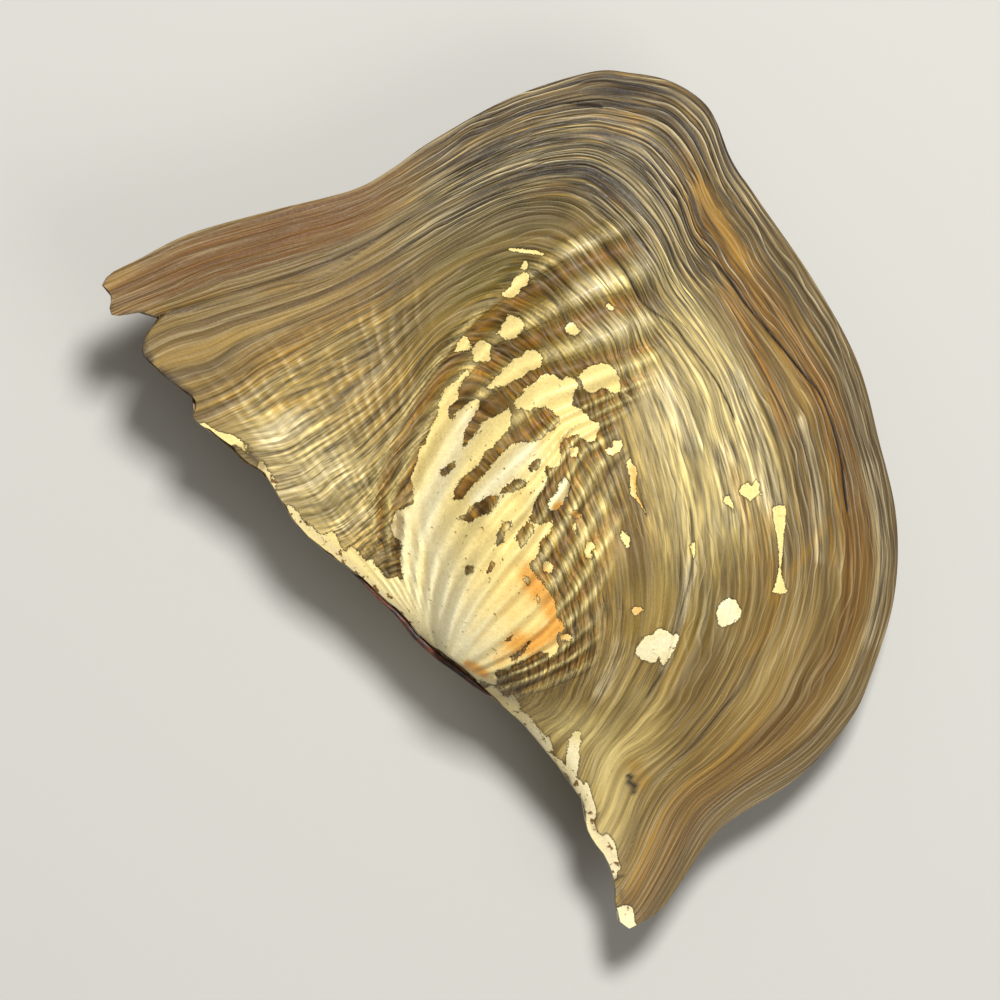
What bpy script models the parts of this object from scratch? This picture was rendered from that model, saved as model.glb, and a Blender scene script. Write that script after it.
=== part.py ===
"""Closed shell of a winged freshwater mussel, lying on its right valve.

Two valves grow from the beak outwards and meet at a flat seam. A strip of dark
ligament lies along the hinge between them. Each valve is one loft of growth lines:
every line is the valve's outer edge, scaled about the beak and turned about the
hinge, which is how the shell grew.

The shell is described in its own directions first: along the hinge towards the
posterior wing, out from the hinge towards the lower edge, and up from the seam.
An empty then tips it onto the spot that it rests on. Measurements of the shell are
in millimetres, and the scene is in metres.
"""

import math

import bmesh
import bpy
import numpy as np
from mathutils import Vector

MM = 0.001

# Growing edge of a valve, from the tip of the front wing round to the tip of the
# back wing: distance along the hinge, distance out from it. The beak is at 0, 0.
GROWING_EDGE = [
    (-33.8, -3.3), (-34.0, 0.3), (-33.4, 4.5), (-32.1, 9.7), (-31.7, 13.5), (-32.6, 19.5),
    (-32.6, 24.0), (-31.6, 29.7), (-29.5, 34.0), (-24.4, 41.6), (-17.9, 47.4), (-10.0, 51.5),
    (-1.7, 55.0), (8.0, 57.0), (18.5, 57.9), (23.7, 58.4), (28.3, 59.7), (31.4, 59.7),
    (34.9, 58.5), (38.3, 55.9), (41.0, 52.5), (44.4, 44.1), (46.2, 34.3), (46.6, 29.0),
    (47.6, 24.2), (51.4, 16.0), (55.0, 7.7), (56.6, 1.5), (57.2, -1.8), (56.5, -3.3),
]

# Top edge of the left valve along the hinge, with the broken end of the back wing.
# Behind the beak it stands back, and leaves a step for the ligament.
LEFT_TOP_EDGE = [
    (-33.8, -3.3), (-32.5, -3.5), (-28.8, -1.3), (-23.8, -0.5), (-19.7, 1.4), (-7.8, 1.5),
    (-5.0, 1.3), (-2.4, 1.2), (0.0, 0.65), (2.7, -0.2), (6.0, -0.6), (10.0, -1.15),
    (15.5, -2.05), (19.0, -2.85), (23.8, -3.6), (28.2, -3.0), (30.5, -2.8),
    (35.4, -4.1), (39.0, -4.4), (41.5, -3.4), (44.9, -4.0), (46.8, -4.6), (48.7, -4.0),
    (49.9, -0.7), (50.9, -1.2), (53.0, -4.2), (54.8, -3.7), (56.5, -3.3),
]
# The right valve broke a little less deeply, so a sliver of it shows in the notch.
RIGHT_TOP_EDGE = [
    (-33.8, -3.3), (-32.5, -3.6), (-28.8, -1.6), (-23.8, -0.8), (-19.7, 1.1), (-7.8, 1.2),
    (-5.0, 0.7), (-2.4, 0.15), (0.0, -0.5), (2.7, -1.25), (15.5, -2.5), (23.8, -3.75),
    (30.5, -3.1), (35.4, -4.2), (39.0, -4.5), (44.9, -4.2), (48.2, -4.4), (50.2, -2.6),
    (52.4, -2.4), (54.1, -4.0), (56.5, -3.3),
]

# How a growth line turns as the shell grows: a whole turn multiplies its size by
# exp(2 pi GROWTH_PER_RADIAN). Smaller numbers coil the beak more tightly.
GROWTH_PER_RADIAN = 1.75
SMALLEST_LINE = 0.07
RIM_HEIGHT = 0.9
THINNEST_RIM = 0.7
SEAM_GAP = 0.15
TOP_EDGE_BLEND = 8.0

# Share of the full height of the arch, against the direction in degrees from the
# beak: 0 points along the back wing, 90 straight out from the hinge.
ARCH_BY_DIRECTION = [
    (-10, 0.55), (12, 0.55), (27, 0.60), (40, 0.80), (55, 1.0), (115, 1.0), (150, 0.75), (190, 0.6),
]

# Radial folds near the beak. Each row is the valley between two folds: its place
# along the hinge at each of the distances out from the hinge.
FOLD_STATIONS = (0.0, 3.0, 6.0, 10.0, 15.0, 20.0, 26.0, 32.0, 38.0)
FOLD_VALLEYS = [
    (-5.5, -8.0, -10.0, -11.4, -11.6, -11.2, -9.6, -8.0, -7.0),
    (-4.2, -6.4, -8.4, -9.6, -9.4, -8.6, -6.8, -5.2, -4.4),
    (-3.0, -5.0, -6.4, -7.2, -6.4, -5.1, -3.1, -1.6, -1.2),
    (-1.9, -3.2, -4.3, -4.6, -3.7, -2.4, -0.2, 0.9, 1.0),
    (-0.9, -1.4, -1.8, -1.8, -1.0, 0.8, 2.6, 3.5, 3.5),
    (0.1, 0.4, 0.8, 1.0, 1.9, 3.5, 5.8, 6.2, 6.0),
    (1.1, 2.0, 2.9, 3.7, 4.7, 6.2, 8.4, 8.6, 8.0),
    (2.1, 3.6, 5.0, 6.1, 7.2, 8.5, 10.3, 10.4, 10.0),
    (3.3, 5.4, 7.2, 8.6, 9.6, 10.3, 11.7, 11.6, 11.3),
    (4.6, 7.4, 9.6, 11.0, 11.9, 11.9, 13.0, 12.8, 12.2),
    (6.0, 9.4, 12.2, 13.9, 14.7, 14.7, 14.7, 13.6, 12.9),
    (7.6, 11.6, 14.8, 16.6, 18.5, 19.8, 19.2, 16.6, 13.6),
    (9.4, 14.0, 17.4, 19.4, 21.4, 22.7, 23.4, 21.3, 20.4),
    (11.4, 16.6, 20.0, 22.2, 24.4, 25.8, 26.9, 26.5, 25.4),
    (13.6, 19.4, 22.8, 25.2, 27.4, 28.9, 30.2, 30.8, 30.0),
]
FOLD_START = (0.0, 5.0)
FOLD_FADE = (26.0, 40.0)
# Share of a fold's width over which the outermost folds come up to full height.
OUTERMOST_FOLD_RISE = 0.67

# Growth ledges: share of full size at the ledge, and the drop to the next stage.
LEDGES = [
    (0.60, 0.22), (0.665, 0.18), (0.72, 0.50), (0.79, 0.24), (0.87, 0.45), (0.93, 0.25), (0.97, 0.20),
]
LEDGE_WIDTH = 0.008
LIP_SHARE = 0.3
LIP_WIDTH = 0.02
# Ledges fade out where the growing edge comes this near to the hinge line.
LEDGE_REACH = (4.0, 20.0)
PLAIN_STAGES = (
    0.095, 0.13, 0.18, 0.23, 0.29, 0.35, 0.41, 0.47, 0.535, 0.63, 0.695, 0.755, 0.83, 0.90, 1.0,
)

# The hollow between the valves, as an inset of the outside.
WALL = 1.7
HOLLOW_STAGES = (0.20, 0.27, 0.34, 0.42, 0.50, 0.58, 0.66, 0.74, 0.81, 0.87, 0.93, 0.975)
HOLLOW_COLUMNS = 34
HOLLOW_INSET = 0.02
CUTTER_DEPTH = 4.0

# The lower valve's folds are worn lower where it has lain.
FOLD_HEIGHT = {"left_valve": 0.42, "right_valve": 0.30}
COLUMNS = {"left_valve": 74, "right_valve": 48}
# The columns are this much closer over the part of the growing edge, given as
# shares of its length, that the folds reach.
FOLD_CROWDING = 1.6
CROWDING_STARTS = (0.22, 0.34)
CROWDING_ENDS = (0.72, 0.80)
CURVE_STEPS = 24

# The ligament lies on the right valve's edge, in the step that the left valve leaves:
# place along the hinge, half thickness there.
LIGAMENT_HALF_THICKNESS = [
    (-4.6, 0.13), (-2.4, 0.30), (0.0, 0.36), (4.0, 0.36), (8.0, 0.30), (12.0, 0.20), (15.5, 0.13),
]
LIGAMENT_GAP = 0.08
LIGAMENT_POINTS = 22

# How the closed shell settles on the arch of its right valve, in degrees: the lower
# edge dips, then the front wing dips. It lies on a spot that wear has made flat.
LOWER_EDGE_DIPS = 5.3
FRONT_WING_DIPS = 5.2
WORN_DEPTH = 0.36


def resampled(points, shares):
    """Points at these shares of the length of a smooth curve through the given points."""
    points = np.array(points, float)
    before = np.vstack([2 * points[0] - points[1], points[:-1]])
    after = np.vstack([points[1:], 2 * points[-1] - points[-2]])
    tangents = (after - before) / 2
    dense = []
    for start, end, start_tangent, end_tangent in zip(points, points[1:], tangents, tangents[1:]):
        u = np.linspace(0, 1, CURVE_STEPS, endpoint=False)[:, None]
        dense.append(
            (2 * u**3 - 3 * u**2 + 1) * start
            + (u**3 - 2 * u**2 + u) * start_tangent
            + (3 * u**2 - 2 * u**3) * end
            + (u**3 - u**2) * end_tangent
        )
    dense = np.vstack(dense + [points[-1:]])
    run = np.concatenate([[0], np.cumsum(np.linalg.norm(np.diff(dense, axis=0), axis=1))])
    return np.column_stack([np.interp(shares * run[-1], run, dense[:, i]) for i in (0, 1)])


def smooth_step(value, low, high):
    share = np.clip((value - low) / (high - low), 0, 1)
    return share * share * (3 - 2 * share)


def crowded_shares(count):
    """Shares of the growing edge, closer together over the part that the folds reach."""
    shares = np.linspace(0, 1, 1001)
    here = smooth_step(shares, *CROWDING_STARTS) * (1 - smooth_step(shares, *CROWDING_ENDS))
    crowd = 1 + FOLD_CROWDING * here
    run = np.cumsum(crowd)
    run = (run - run[0]) / (run[-1] - run[0])
    return np.interp(np.linspace(0, 1, count), run, shares)


def hinge_line(along):
    """The straight lines from the beak to the tips of the two wings."""
    front, back = GROWING_EDGE[0], GROWING_EDGE[-1]
    return np.where(along < 0, along / front[0] * front[1], along / back[0] * back[1])


def growth_surface(edge, stage, top_edge):
    """Where the points of the growing edge were at a stage of growth: along, out, up."""
    turn = -np.log(stage) / GROWTH_PER_RADIAN
    reach = edge[:, 1] - hinge_line(edge[:, 0])
    direction = np.degrees(np.arctan2(edge[:, 1], edge[:, 0]))
    direction = np.where(direction < -90, direction + 360, direction)
    arch = np.interp(direction, *zip(*ARCH_BY_DIRECTION))
    along = stage * edge[:, 0]
    out = stage * reach * np.cos(turn)
    shift = np.interp(along, *zip(*top_edge)) - hinge_line(along)
    shift = shift * np.clip(1 - out / TOP_EDGE_BLEND, 0, 1) ** 2
    up = RIM_HEIGHT + stage * reach * np.sin(turn) * arch
    return np.column_stack([along, hinge_line(along) + out + shift, up])


def fold_relief(along, out):
    """Height of the radial folds from -1 on each valley line to 1 halfway to the next."""
    lines = [np.interp(out, FOLD_STATIONS, row) for row in FOLD_VALLEYS]
    count = np.arange(len(lines))
    phase = np.array([np.interp(here, places, count) for here, places in zip(along, np.array(lines).T)])
    inside = np.clip(np.minimum(phase, len(lines) - 1 - phase) / OUTERMOST_FOLD_RISE, 0, 1)
    from_beak = smooth_step(out, *FOLD_START)
    return -np.cos(2 * np.pi * phase) * inside * from_beak * (1 - smooth_step(out, *FOLD_FADE))


def ledge_relief(stage):
    """Height left by the ledges: each stage starts from under the lip of the one before."""
    height = 0.0
    for place, drop in LEDGES:
        next_place = min([other for other, _ in LEDGES if other > place] + [1.0])
        if stage > place:
            height -= drop * max(0.0, 1 - (stage - place) / (next_place - place))
        else:
            height += LIP_SHARE * drop * math.exp(-(((stage - place) / LIP_WIDTH) ** 2))
    return height


def stages():
    """Growth stages of the rows, with a close pair at each ledge."""
    rows = [SMALLEST_LINE, *PLAIN_STAGES]
    for place, _ in LEDGES:
        rows += [place, place + LEDGE_WIDTH]
    return sorted(rows)


def outside_rows(name, top_edge):
    """Rows of points over the outside of a valve, from the beak to the growing edge."""
    edge = resampled(GROWING_EDGE, crowded_shares(COLUMNS[name]))
    on_disc = smooth_step(edge[:, 1] - hinge_line(edge[:, 0]), *LEDGE_REACH)
    rows = []
    for stage in stages():
        row = growth_surface(edge, stage, top_edge)
        row[:, 2] += FOLD_HEIGHT[name] * fold_relief(row[:, 0], row[:, 1])
        row[:, 2] += ledge_relief(stage) * on_disc
        row[:, 2] = np.maximum(row[:, 2], THINNEST_RIM)
        rows.append(row)
    return np.array(rows)


def hollow_rows(top_edge):
    """Rows of points over the roof of the hollow, one wall thickness inside the outside."""
    edge = resampled(GROWING_EDGE, np.linspace(HOLLOW_INSET, 1 - HOLLOW_INSET, HOLLOW_COLUMNS))
    rows = np.array([growth_surface(edge, stage, top_edge) for stage in HOLLOW_STAGES])
    normals = np.cross(np.gradient(rows, axis=1), np.gradient(rows, axis=0))
    normals /= np.linalg.norm(normals, axis=2, keepdims=True)
    normals *= np.sign(normals[..., 2:])
    inner = rows - WALL * normals
    inner[..., 2] = np.maximum(inner[..., 2], -CUTTER_DEPTH / 2)
    return inner


def loft(name, rows, floor, side):
    """A closed mesh: a grid bent over the rows, with walls down to a flat floor."""
    steps, columns = rows.shape[:2]
    bm = bmesh.new()
    bmesh.ops.create_grid(bm, x_segments=columns - 1, y_segments=steps - 1, size=1)
    bm.verts.ensure_lookup_table()
    for vert, (along, out, up) in zip(bm.verts, rows.reshape(-1, 3)):
        vert.co = Vector((along, -out, up)) * MM
    border = [edge for edge in bm.edges if edge.is_boundary]
    wall = bmesh.ops.extrude_edge_only(bm, edges=border)["geom"]
    for vert in (item for item in wall if isinstance(item, bmesh.types.BMVert)):
        vert.co.z = floor * MM
    close_holes(bm)
    bmesh.ops.scale(bm, vec=(1, 1, side), verts=bm.verts)
    bmesh.ops.remove_doubles(bm, verts=bm.verts, dist=0.00001)
    return finished_mesh(bm, name)


def close_holes(bm):
    """Fills each loop of open edges with one flat face."""
    bmesh.ops.holes_fill(bm, edges=[edge for edge in bm.edges if edge.is_boundary], sides=0)


def finished_mesh(bm, name):
    """The mesh of a bmesh with its faces turned outwards."""
    bmesh.ops.recalc_face_normals(bm, faces=bm.faces)
    mesh = bpy.data.meshes.new(name)
    bm.to_mesh(mesh)
    bm.free()
    return mesh


def worn_flat(mesh, resting):
    """The mesh with its lowest point worn to a flat, as it lies at the resting angles."""
    lowest = min((resting @ vert.co).z for vert in mesh.vertices)
    bm = bmesh.new()
    bm.from_mesh(mesh)
    bmesh.ops.bisect_plane(
        bm,
        geom=[*bm.verts, *bm.edges, *bm.faces],
        dist=1e-7,
        plane_co=resting.inverted() @ Vector((0, 0, lowest + WORN_DEPTH * MM)),
        plane_no=resting.inverted() @ Vector((0, 0, -1)),
        clear_outer=True,
    )
    close_holes(bm)
    return finished_mesh(bm, mesh.name)


def material(name, colour, roughness):
    """A plain surface of one colour, given as linear red, green and blue."""
    made = bpy.data.materials.new(name)
    made.use_nodes = True
    shader = made.node_tree.nodes["Principled BSDF"]
    shader.inputs["Base Color"].default_value = (*colour, 1)
    shader.inputs["Roughness"].default_value = roughness
    shader.inputs["Metallic"].default_value = 0.0
    return made


def place(data, name, collection, pose):
    """Makes the object that holds a mesh or a curve and puts it under the resting pose."""
    made = bpy.data.objects.new(name, data)
    collection.objects.link(made)
    made.parent = pose
    return made


def cut_hollow(valve, top_edge, side, cutters, pose):
    """Cuts the valve's half of the hollow between the valves."""
    name = valve.name + "_hollow"
    hollow = place(loft(name, hollow_rows(top_edge), -CUTTER_DEPTH, side), name, cutters, pose)
    hollow.hide_render = True
    hollow.display_type = "WIRE"
    cut = valve.modifiers.new("hollow", "BOOLEAN")
    cut.operation = "DIFFERENCE"
    cut.solver = "EXACT"
    cut.object = hollow


def make_ligament(finish, parts, pose):
    """The elastic strip that lies in the step between the top edges behind the beak."""
    curve = bpy.data.curves.new("ligament", "CURVE")
    curve.dimensions = "3D"
    curve.bevel_depth = MM
    curve.bevel_resolution = 2
    curve.use_fill_caps = True
    curve.materials.append(finish)
    along = np.linspace(LIGAMENT_HALF_THICKNESS[0][0], LIGAMENT_HALF_THICKNESS[-1][0], LIGAMENT_POINTS)
    half_thickness = np.interp(along, *zip(*LIGAMENT_HALF_THICKNESS))
    edges = np.interp(along, *zip(*LEFT_TOP_EDGE))
    line = curve.splines.new("POLY")
    line.points.add(LIGAMENT_POINTS - 1)
    for point, x, radius, edge in zip(line.points, along, half_thickness, edges):
        clear = LIGAMENT_GAP + radius
        point.co = (x * MM, (clear - edge) * MM, (clear - SEAM_GAP) * MM, 1)
        point.radius = radius
    return place(curve, "ligament", parts, pose)


def stand_on_origin(pose, pieces):
    """Moves the shell so that the origin is under its middle, at the height it rests on."""
    bpy.context.view_layer.update()
    graph = bpy.context.evaluated_depsgraph_get()
    corners = []
    for piece in pieces:
        evaluated = piece.evaluated_get(graph)
        corners += [evaluated.matrix_world @ vert.co for vert in evaluated.to_mesh().vertices]
        evaluated.to_mesh_clear()
    corners = np.array(corners)
    low, high = corners.min(axis=0), corners.max(axis=0)
    pose.location = (-(low[0] + high[0]) / 2, -(low[1] + high[1]) / 2, -low[2])


def main():
    for old in list(bpy.data.objects):
        bpy.data.objects.remove(old)
    parts = bpy.data.collections.new("winged_mussel_shell")
    cutters = bpy.data.collections.new("cutters")
    for collection in (parts, cutters):
        bpy.context.scene.collection.children.link(collection)
    pose = bpy.data.objects.new("resting_pose", None)
    pose.rotation_euler = (math.radians(LOWER_EDGE_DIPS), -math.radians(FRONT_WING_DIPS), 0)
    parts.objects.link(pose)

    left_mesh = loft("left_valve", outside_rows("left_valve", LEFT_TOP_EDGE), SEAM_GAP, 1)
    left_mesh.materials.append(material("olive_brown_shell", (0.20, 0.13, 0.055), 0.4))
    left = place(left_mesh, "left_valve", parts, pose)
    cut_hollow(left, LEFT_TOP_EDGE, 1, cutters, pose)

    right_mesh = loft("right_valve", outside_rows("right_valve", RIGHT_TOP_EDGE), SEAM_GAP, -1)
    right_mesh = worn_flat(right_mesh, pose.rotation_euler.to_matrix())
    right_mesh.materials.append(material("darker_shell", (0.17, 0.11, 0.05), 0.45))
    right = place(right_mesh, "right_valve", parts, pose)
    cut_hollow(right, RIGHT_TOP_EDGE, -1, cutters, pose)

    horn = material("dried_ligament", (0.06, 0.02, 0.008), 0.5)
    ligament = make_ligament(horn, parts, pose)
    stand_on_origin(pose, [left, right, ligament])


main()
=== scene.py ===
# %% [markdown]
# A winged freshwater mussel shell
#
# The shell lies closed on its right valve. Its surface is a skin of horny
# material, worn off at the beak so that the chalky shell below it shows.
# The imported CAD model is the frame. Here each of its three solids gets a
# finely modelled piece in its place: two valves and the ligament.

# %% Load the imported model
import math

import bmesh
import bpy
import numpy as np
from mathutils import Euler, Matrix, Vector
from mathutils.geometry import tessellate_polygon


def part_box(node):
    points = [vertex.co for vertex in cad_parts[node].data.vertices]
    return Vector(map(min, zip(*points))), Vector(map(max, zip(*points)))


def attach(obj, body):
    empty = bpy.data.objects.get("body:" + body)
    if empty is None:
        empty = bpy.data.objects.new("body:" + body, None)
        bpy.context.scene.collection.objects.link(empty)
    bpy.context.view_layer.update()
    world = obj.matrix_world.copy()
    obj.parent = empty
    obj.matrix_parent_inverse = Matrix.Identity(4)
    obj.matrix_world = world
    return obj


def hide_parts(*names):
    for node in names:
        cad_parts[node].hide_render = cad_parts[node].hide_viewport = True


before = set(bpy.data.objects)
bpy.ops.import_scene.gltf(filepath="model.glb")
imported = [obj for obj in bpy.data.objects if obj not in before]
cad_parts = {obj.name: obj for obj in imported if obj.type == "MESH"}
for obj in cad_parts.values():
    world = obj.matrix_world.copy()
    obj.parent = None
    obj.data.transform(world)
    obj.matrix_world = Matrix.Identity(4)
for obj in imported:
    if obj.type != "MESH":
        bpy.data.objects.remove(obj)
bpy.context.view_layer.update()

MM = 0.001
print("nodes:", sorted(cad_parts))

# %% [markdown]
# How the shell lies
#
# A mussel is drawn best in its own directions: along the hinge, out from the
# hinge, and up from the seam between the valves. The closed shell then tips
# by about five degrees each way, until the lower valve lies on its worn spot.
# The outline of the growing edge is repeated from the CAD source, because it
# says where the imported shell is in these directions.

# %% The outline of the shell, in millimetres
GROWING_EDGE = [
    (-33.8, -3.3), (-34.4, 0.3), (-33.4, 4.5), (-32.0, 9.7), (-31.9, 13.5), (-32.8, 19.5),
    (-32.8, 24.0), (-31.8, 29.8), (-29.8, 34.2), (-24.7, 41.9), (-18.1, 47.7), (-10.1, 51.7),
    (-1.8, 55.3), (8.0, 57.1), (18.5, 57.9), (23.7, 58.4), (28.3, 59.8), (31.4, 59.8),
    (34.9, 58.4), (38.1, 55.7), (40.9, 52.4), (44.2, 44.0), (46.0, 34.3), (46.4, 29.0),
    (47.4, 24.1), (51.2, 15.9), (54.8, 7.6), (56.2, 1.4), (56.9, -1.8), (56.5, -3.3),
]
TOP_EDGES = {
    "left_valve": [
        (-33.8, -3.3), (-32.6, -3.6), (-31.6, -3.1), (-30.4, -2.5), (-29.6, -1.8), (-28.4, -1.1),
        (-27.4, -0.7), (-26.7, -0.5), (-25.7, -0.3), (-24.5, -0.3), (-23.5, -0.2), (-22.6, 0.0),
        (-21.8, 0.4), (-21.2, 0.9), (-20.3, 1.4), (-19.5, 1.65), (-18.6, 1.65), (-17.7, 1.8),
        (-16.9, 2.0), (-15.7, 1.9), (-14.5, 1.95), (-13.2, 1.9), (-11.9, 1.95), (-10.6, 1.9),
        (-9.6, 1.9), (-8.6, 1.8), (-7.5, 1.6), (-6.4, 1.45), (-5.3, 1.4), (-3.9, 1.15),
        (-2.1, 0.85), (-0.2, 0.5), (1.9, -0.1), (4.0, -0.5), (5.8, -0.75), (7.6, -0.7),
        (9.2, -0.8), (10.6, -1.1), (12.0, -1.3), (13.3, -1.45), (14.4, -1.6), (15.5, -1.9),
        (16.5, -2.1), (17.3, -2.4), (18.4, -2.55), (19.1, -2.8), (20.2, -3.0), (21.4, -3.3),
        (22.6, -3.35), (23.7, -3.4), (24.6, -3.3), (25.5, -3.05), (26.4, -3.1), (27.5, -2.9),
        (28.8, -2.75), (29.8, -2.6), (30.7, -2.85), (31.6, -3.2), (32.5, -3.4), (33.4, -3.5),
        (34.1, -3.4), (34.8, -3.65), (36.1, -4.0), (37.2, -4.2), (37.8, -4.55), (38.7, -4.8),
        (39.3, -4.8), (39.6, -4.5), (39.9, -3.9), (40.5, -3.45), (41.3, -3.4), (42.0, -3.6),
        (43.0, -3.9), (44.0, -4.2), (45.0, -4.35), (46.0, -4.4), (47.0, -4.55), (47.8, -4.65),
        (48.4, -4.4), (49.1, -3.8), (49.5, -3.0), (49.65, -2.2), (49.75, -1.3), (49.85, -0.6),
        (50.3, -1.1), (51.0, -1.5), (51.7, -2.05), (52.2, -3.0), (52.8, -4.0), (53.4, -4.6),
        (54.1, -4.3), (54.5, -3.8), (55.0, -3.3), (55.7, -3.2), (56.5, -3.3),
    ],
    "right_valve": [
        (-33.8, -3.3), (-32.5, -3.6), (-30.4, -2.3), (-28.8, -1.0), (-26.7, -0.3), (-23.8, -0.1),
        (-21.8, 0.5), (-19.7, 1.7), (-15.0, 2.0), (-9.6, 2.0), (-7.0, 1.6), (-5.0, 1.2),
        (-2.4, 0.7), (0.0, 0.0), (1.5, -0.6), (2.7, -0.85), (4.5, -0.75), (6.0, -0.7),
        (10.0, -1.0), (15.5, -1.9), (19.0, -2.9), (23.8, -3.4), (28.8, -2.7), (30.5, -2.9),
        (32.0, -3.6), (34.0, -3.7), (35.4, -4.0), (39.0, -4.7), (41.0, -3.5), (44.9, -4.4),
        (47.8, -4.7), (48.8, -4.2), (49.4, -3.2), (49.8, -0.8), (51.7, -2.1), (53.4, -4.5),
        (55.0, -3.3), (56.5, -3.3),
    ],
}
SEAM_GAP = 0.15
RIM_HEIGHT = 0.9

# %% From the shell's directions to the world
LOWER_EDGE_DIPS = 5.3
FRONT_WING_DIPS = 5.2
BEAK_FROM_CORNER = (33.939, 59.528, 5.889)
resting = np.array(Euler((math.radians(LOWER_EDGE_DIPS), -math.radians(FRONT_WING_DIPS), 0)).to_matrix())


def turned(points, side=1):
    """Points given as along, out and up, in millimetres, turned to how the shell lies."""
    flipped = np.stack([points[..., 0], -points[..., 1], points[..., 2] * side], axis=-1)
    return flipped @ resting.T


beak_place = np.array(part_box("left_valve")[0]) / MM + BEAK_FROM_CORNER


def to_world(points, side=1):
    """The same points in metres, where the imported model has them."""
    return (turned(points, side) + beak_place) * MM


print("beak at, mm:", beak_place.round(2))

# %% [markdown]
# The camera
#
# The photograph looks almost straight down on the left valve, with the back
# wing at the upper left. A long lens some way off keeps the thick middle of
# the shell from looking swollen. One function then says which pixel of the
# photograph a point of the shell falls on, so that marks traced from the
# photograph can be laid on the modelled surface.

# %% The camera above the shell
PHOTO_PIXELS = 1000
MIDDLE_OF_VIEW = (11.07, 15.4, 0.5)
SLID_RIGHT, SLID_UP = -0.166, 0.090
MM_PER_PIXEL = 0.1089
CAMERA_HEIGHT = 700.0
CAMERA_ROLL = -129.147
ZOOM = 1.004
SENSOR = 36.0

camera_data = bpy.data.cameras.new("above")
camera_data.sensor_width = SENSOR
camera_data.lens = SENSOR * CAMERA_HEIGHT / (MM_PER_PIXEL * PHOTO_PIXELS) * ZOOM
camera = bpy.data.objects.new("above", camera_data)
bpy.context.scene.collection.objects.link(camera)
below_camera = to_world(np.array(MIDDLE_OF_VIEW))
camera.rotation_euler = (0, 0, math.radians(CAMERA_ROLL))
slide = camera.rotation_euler.to_matrix() @ Vector((SLID_RIGHT, SLID_UP, CAMERA_HEIGHT))
camera.location = Vector(below_camera) + slide * MM
bpy.context.scene.camera = camera
bpy.context.view_layer.update()
world_to_camera = np.array(camera.matrix_world.inverted())


def photo_pixels(world_points):
    """Where points of the world fall in the photograph: pixels from its upper left corner."""
    seen = world_points @ world_to_camera[:3, :3].T + world_to_camera[:3, 3]
    scale = PHOTO_PIXELS * camera_data.lens / SENSOR / -seen[..., 2]
    middle = PHOTO_PIXELS / 2
    return np.stack([middle + scale * seen[..., 0], middle - scale * seen[..., 1]], axis=-1)


print("lens, mm:", round(camera_data.lens, 1))

# %% [markdown]
# Floor and light
#
# The studio is plain: a pale floor, one large soft light above and to the
# right of the picture, and a weaker one from the other side. Soft light is
# what shows a silky shell surface. A small lamp would burn out on its ridges.

# %% Colours, given as sRGB hex
def linear(hex_colour):
    """An sRGB hex colour as the linear red, green, blue and alpha that Blender works in."""
    parts = [int(hex_colour[place:place + 2], 16) / 255 for place in (1, 3, 5)]
    return (*[p / 12.92 if p <= 0.04045 else ((p + 0.055) / 1.055) ** 2.4 for p in parts], 1.0)


# %% One function adds a node
def add(tree, kind, inputs=None, output=0, **settings):
    """Adds a node with its settings, joins or sets its inputs, and gives back an output."""
    made = tree.nodes.new(kind)
    for name, value in settings.items():
        setattr(made, name, value)
    for socket, value in (inputs or {}).items():
        if isinstance(value, bpy.types.NodeSocket):
            tree.links.new(value, made.inputs[socket])
        else:
            made.inputs[socket].default_value = value
    return made.outputs[output]


# %% The floor
floor_mesh = bpy.data.meshes.new("paper_floor")
FLOOR_HALF = 1.5
floor_corners = [(-FLOOR_HALF, -FLOOR_HALF, 0), (FLOOR_HALF, -FLOOR_HALF, 0)]
floor_corners += [(FLOOR_HALF, FLOOR_HALF, 0), (-FLOOR_HALF, FLOOR_HALF, 0)]
floor_mesh.from_pydata(floor_corners, [], [(0, 1, 2, 3)])
floor = bpy.data.objects.new("paper_floor", floor_mesh)
bpy.context.scene.collection.objects.link(floor)
floor.location.z = -0.0002

paper = bpy.data.materials.new("matt_paper")
paper.use_nodes = True
paper_shader = paper.node_tree.nodes["Principled BSDF"]
paper_shader.inputs["Base Color"].default_value = linear("#BAB8B2")
paper_shader.inputs["Roughness"].default_value = 0.9
floor_mesh.materials.append(paper)

# %% The lights
def soft_light(name, place, size, power):
    """A square lamp that faces the shell. Its size is in metres and its power in watts."""
    lamp = bpy.data.lights.new(name, "AREA")
    lamp.size = size
    lamp.energy = power
    light = bpy.data.objects.new(name, lamp)
    bpy.context.scene.collection.objects.link(light)
    light.location = place
    light.rotation_euler = (-Vector(place)).to_track_quat("-Z", "Y").to_euler()
    return light


picture_up = camera.matrix_world.to_3x3() @ Vector((0, 1, 0))
picture_right = camera.matrix_world.to_3x3() @ Vector((1, 0, 0))
key_place = picture_up * 0.33 + picture_right * 0.12 + Vector((0, 0, 0.8))
fill_place = picture_up * -0.30 + picture_right * 0.45 + Vector((0, 0, 0.7))
soft_light("key", key_place, 0.17, 9.6)
soft_light("fill", fill_place, 0.5, 1.9)

world = bpy.data.worlds.new("soft_room")
bpy.context.scene.world = world
world.use_nodes = True
world.node_tree.nodes["Background"].inputs["Color"].default_value = linear("#FFFBF2")
world.node_tree.nodes["Background"].inputs["Strength"].default_value = 0.2
bpy.context.scene.view_settings.view_transform = "Standard"

# %% [markdown]
# How a valve grows
#
# A mussel adds shell only at its edge, and turns a little as it does. So each
# old growth line is today's edge, made smaller about the beak and turned about
# the hinge. Sculpting such a form by hand is hard to keep even. Here the form
# comes from that rule, on a grid: its rows are growth lines, its columns run
# from the beak to the edge. Rows are closer in the outer half, where each
# growth step shows, and columns are closer over the folds.

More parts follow.
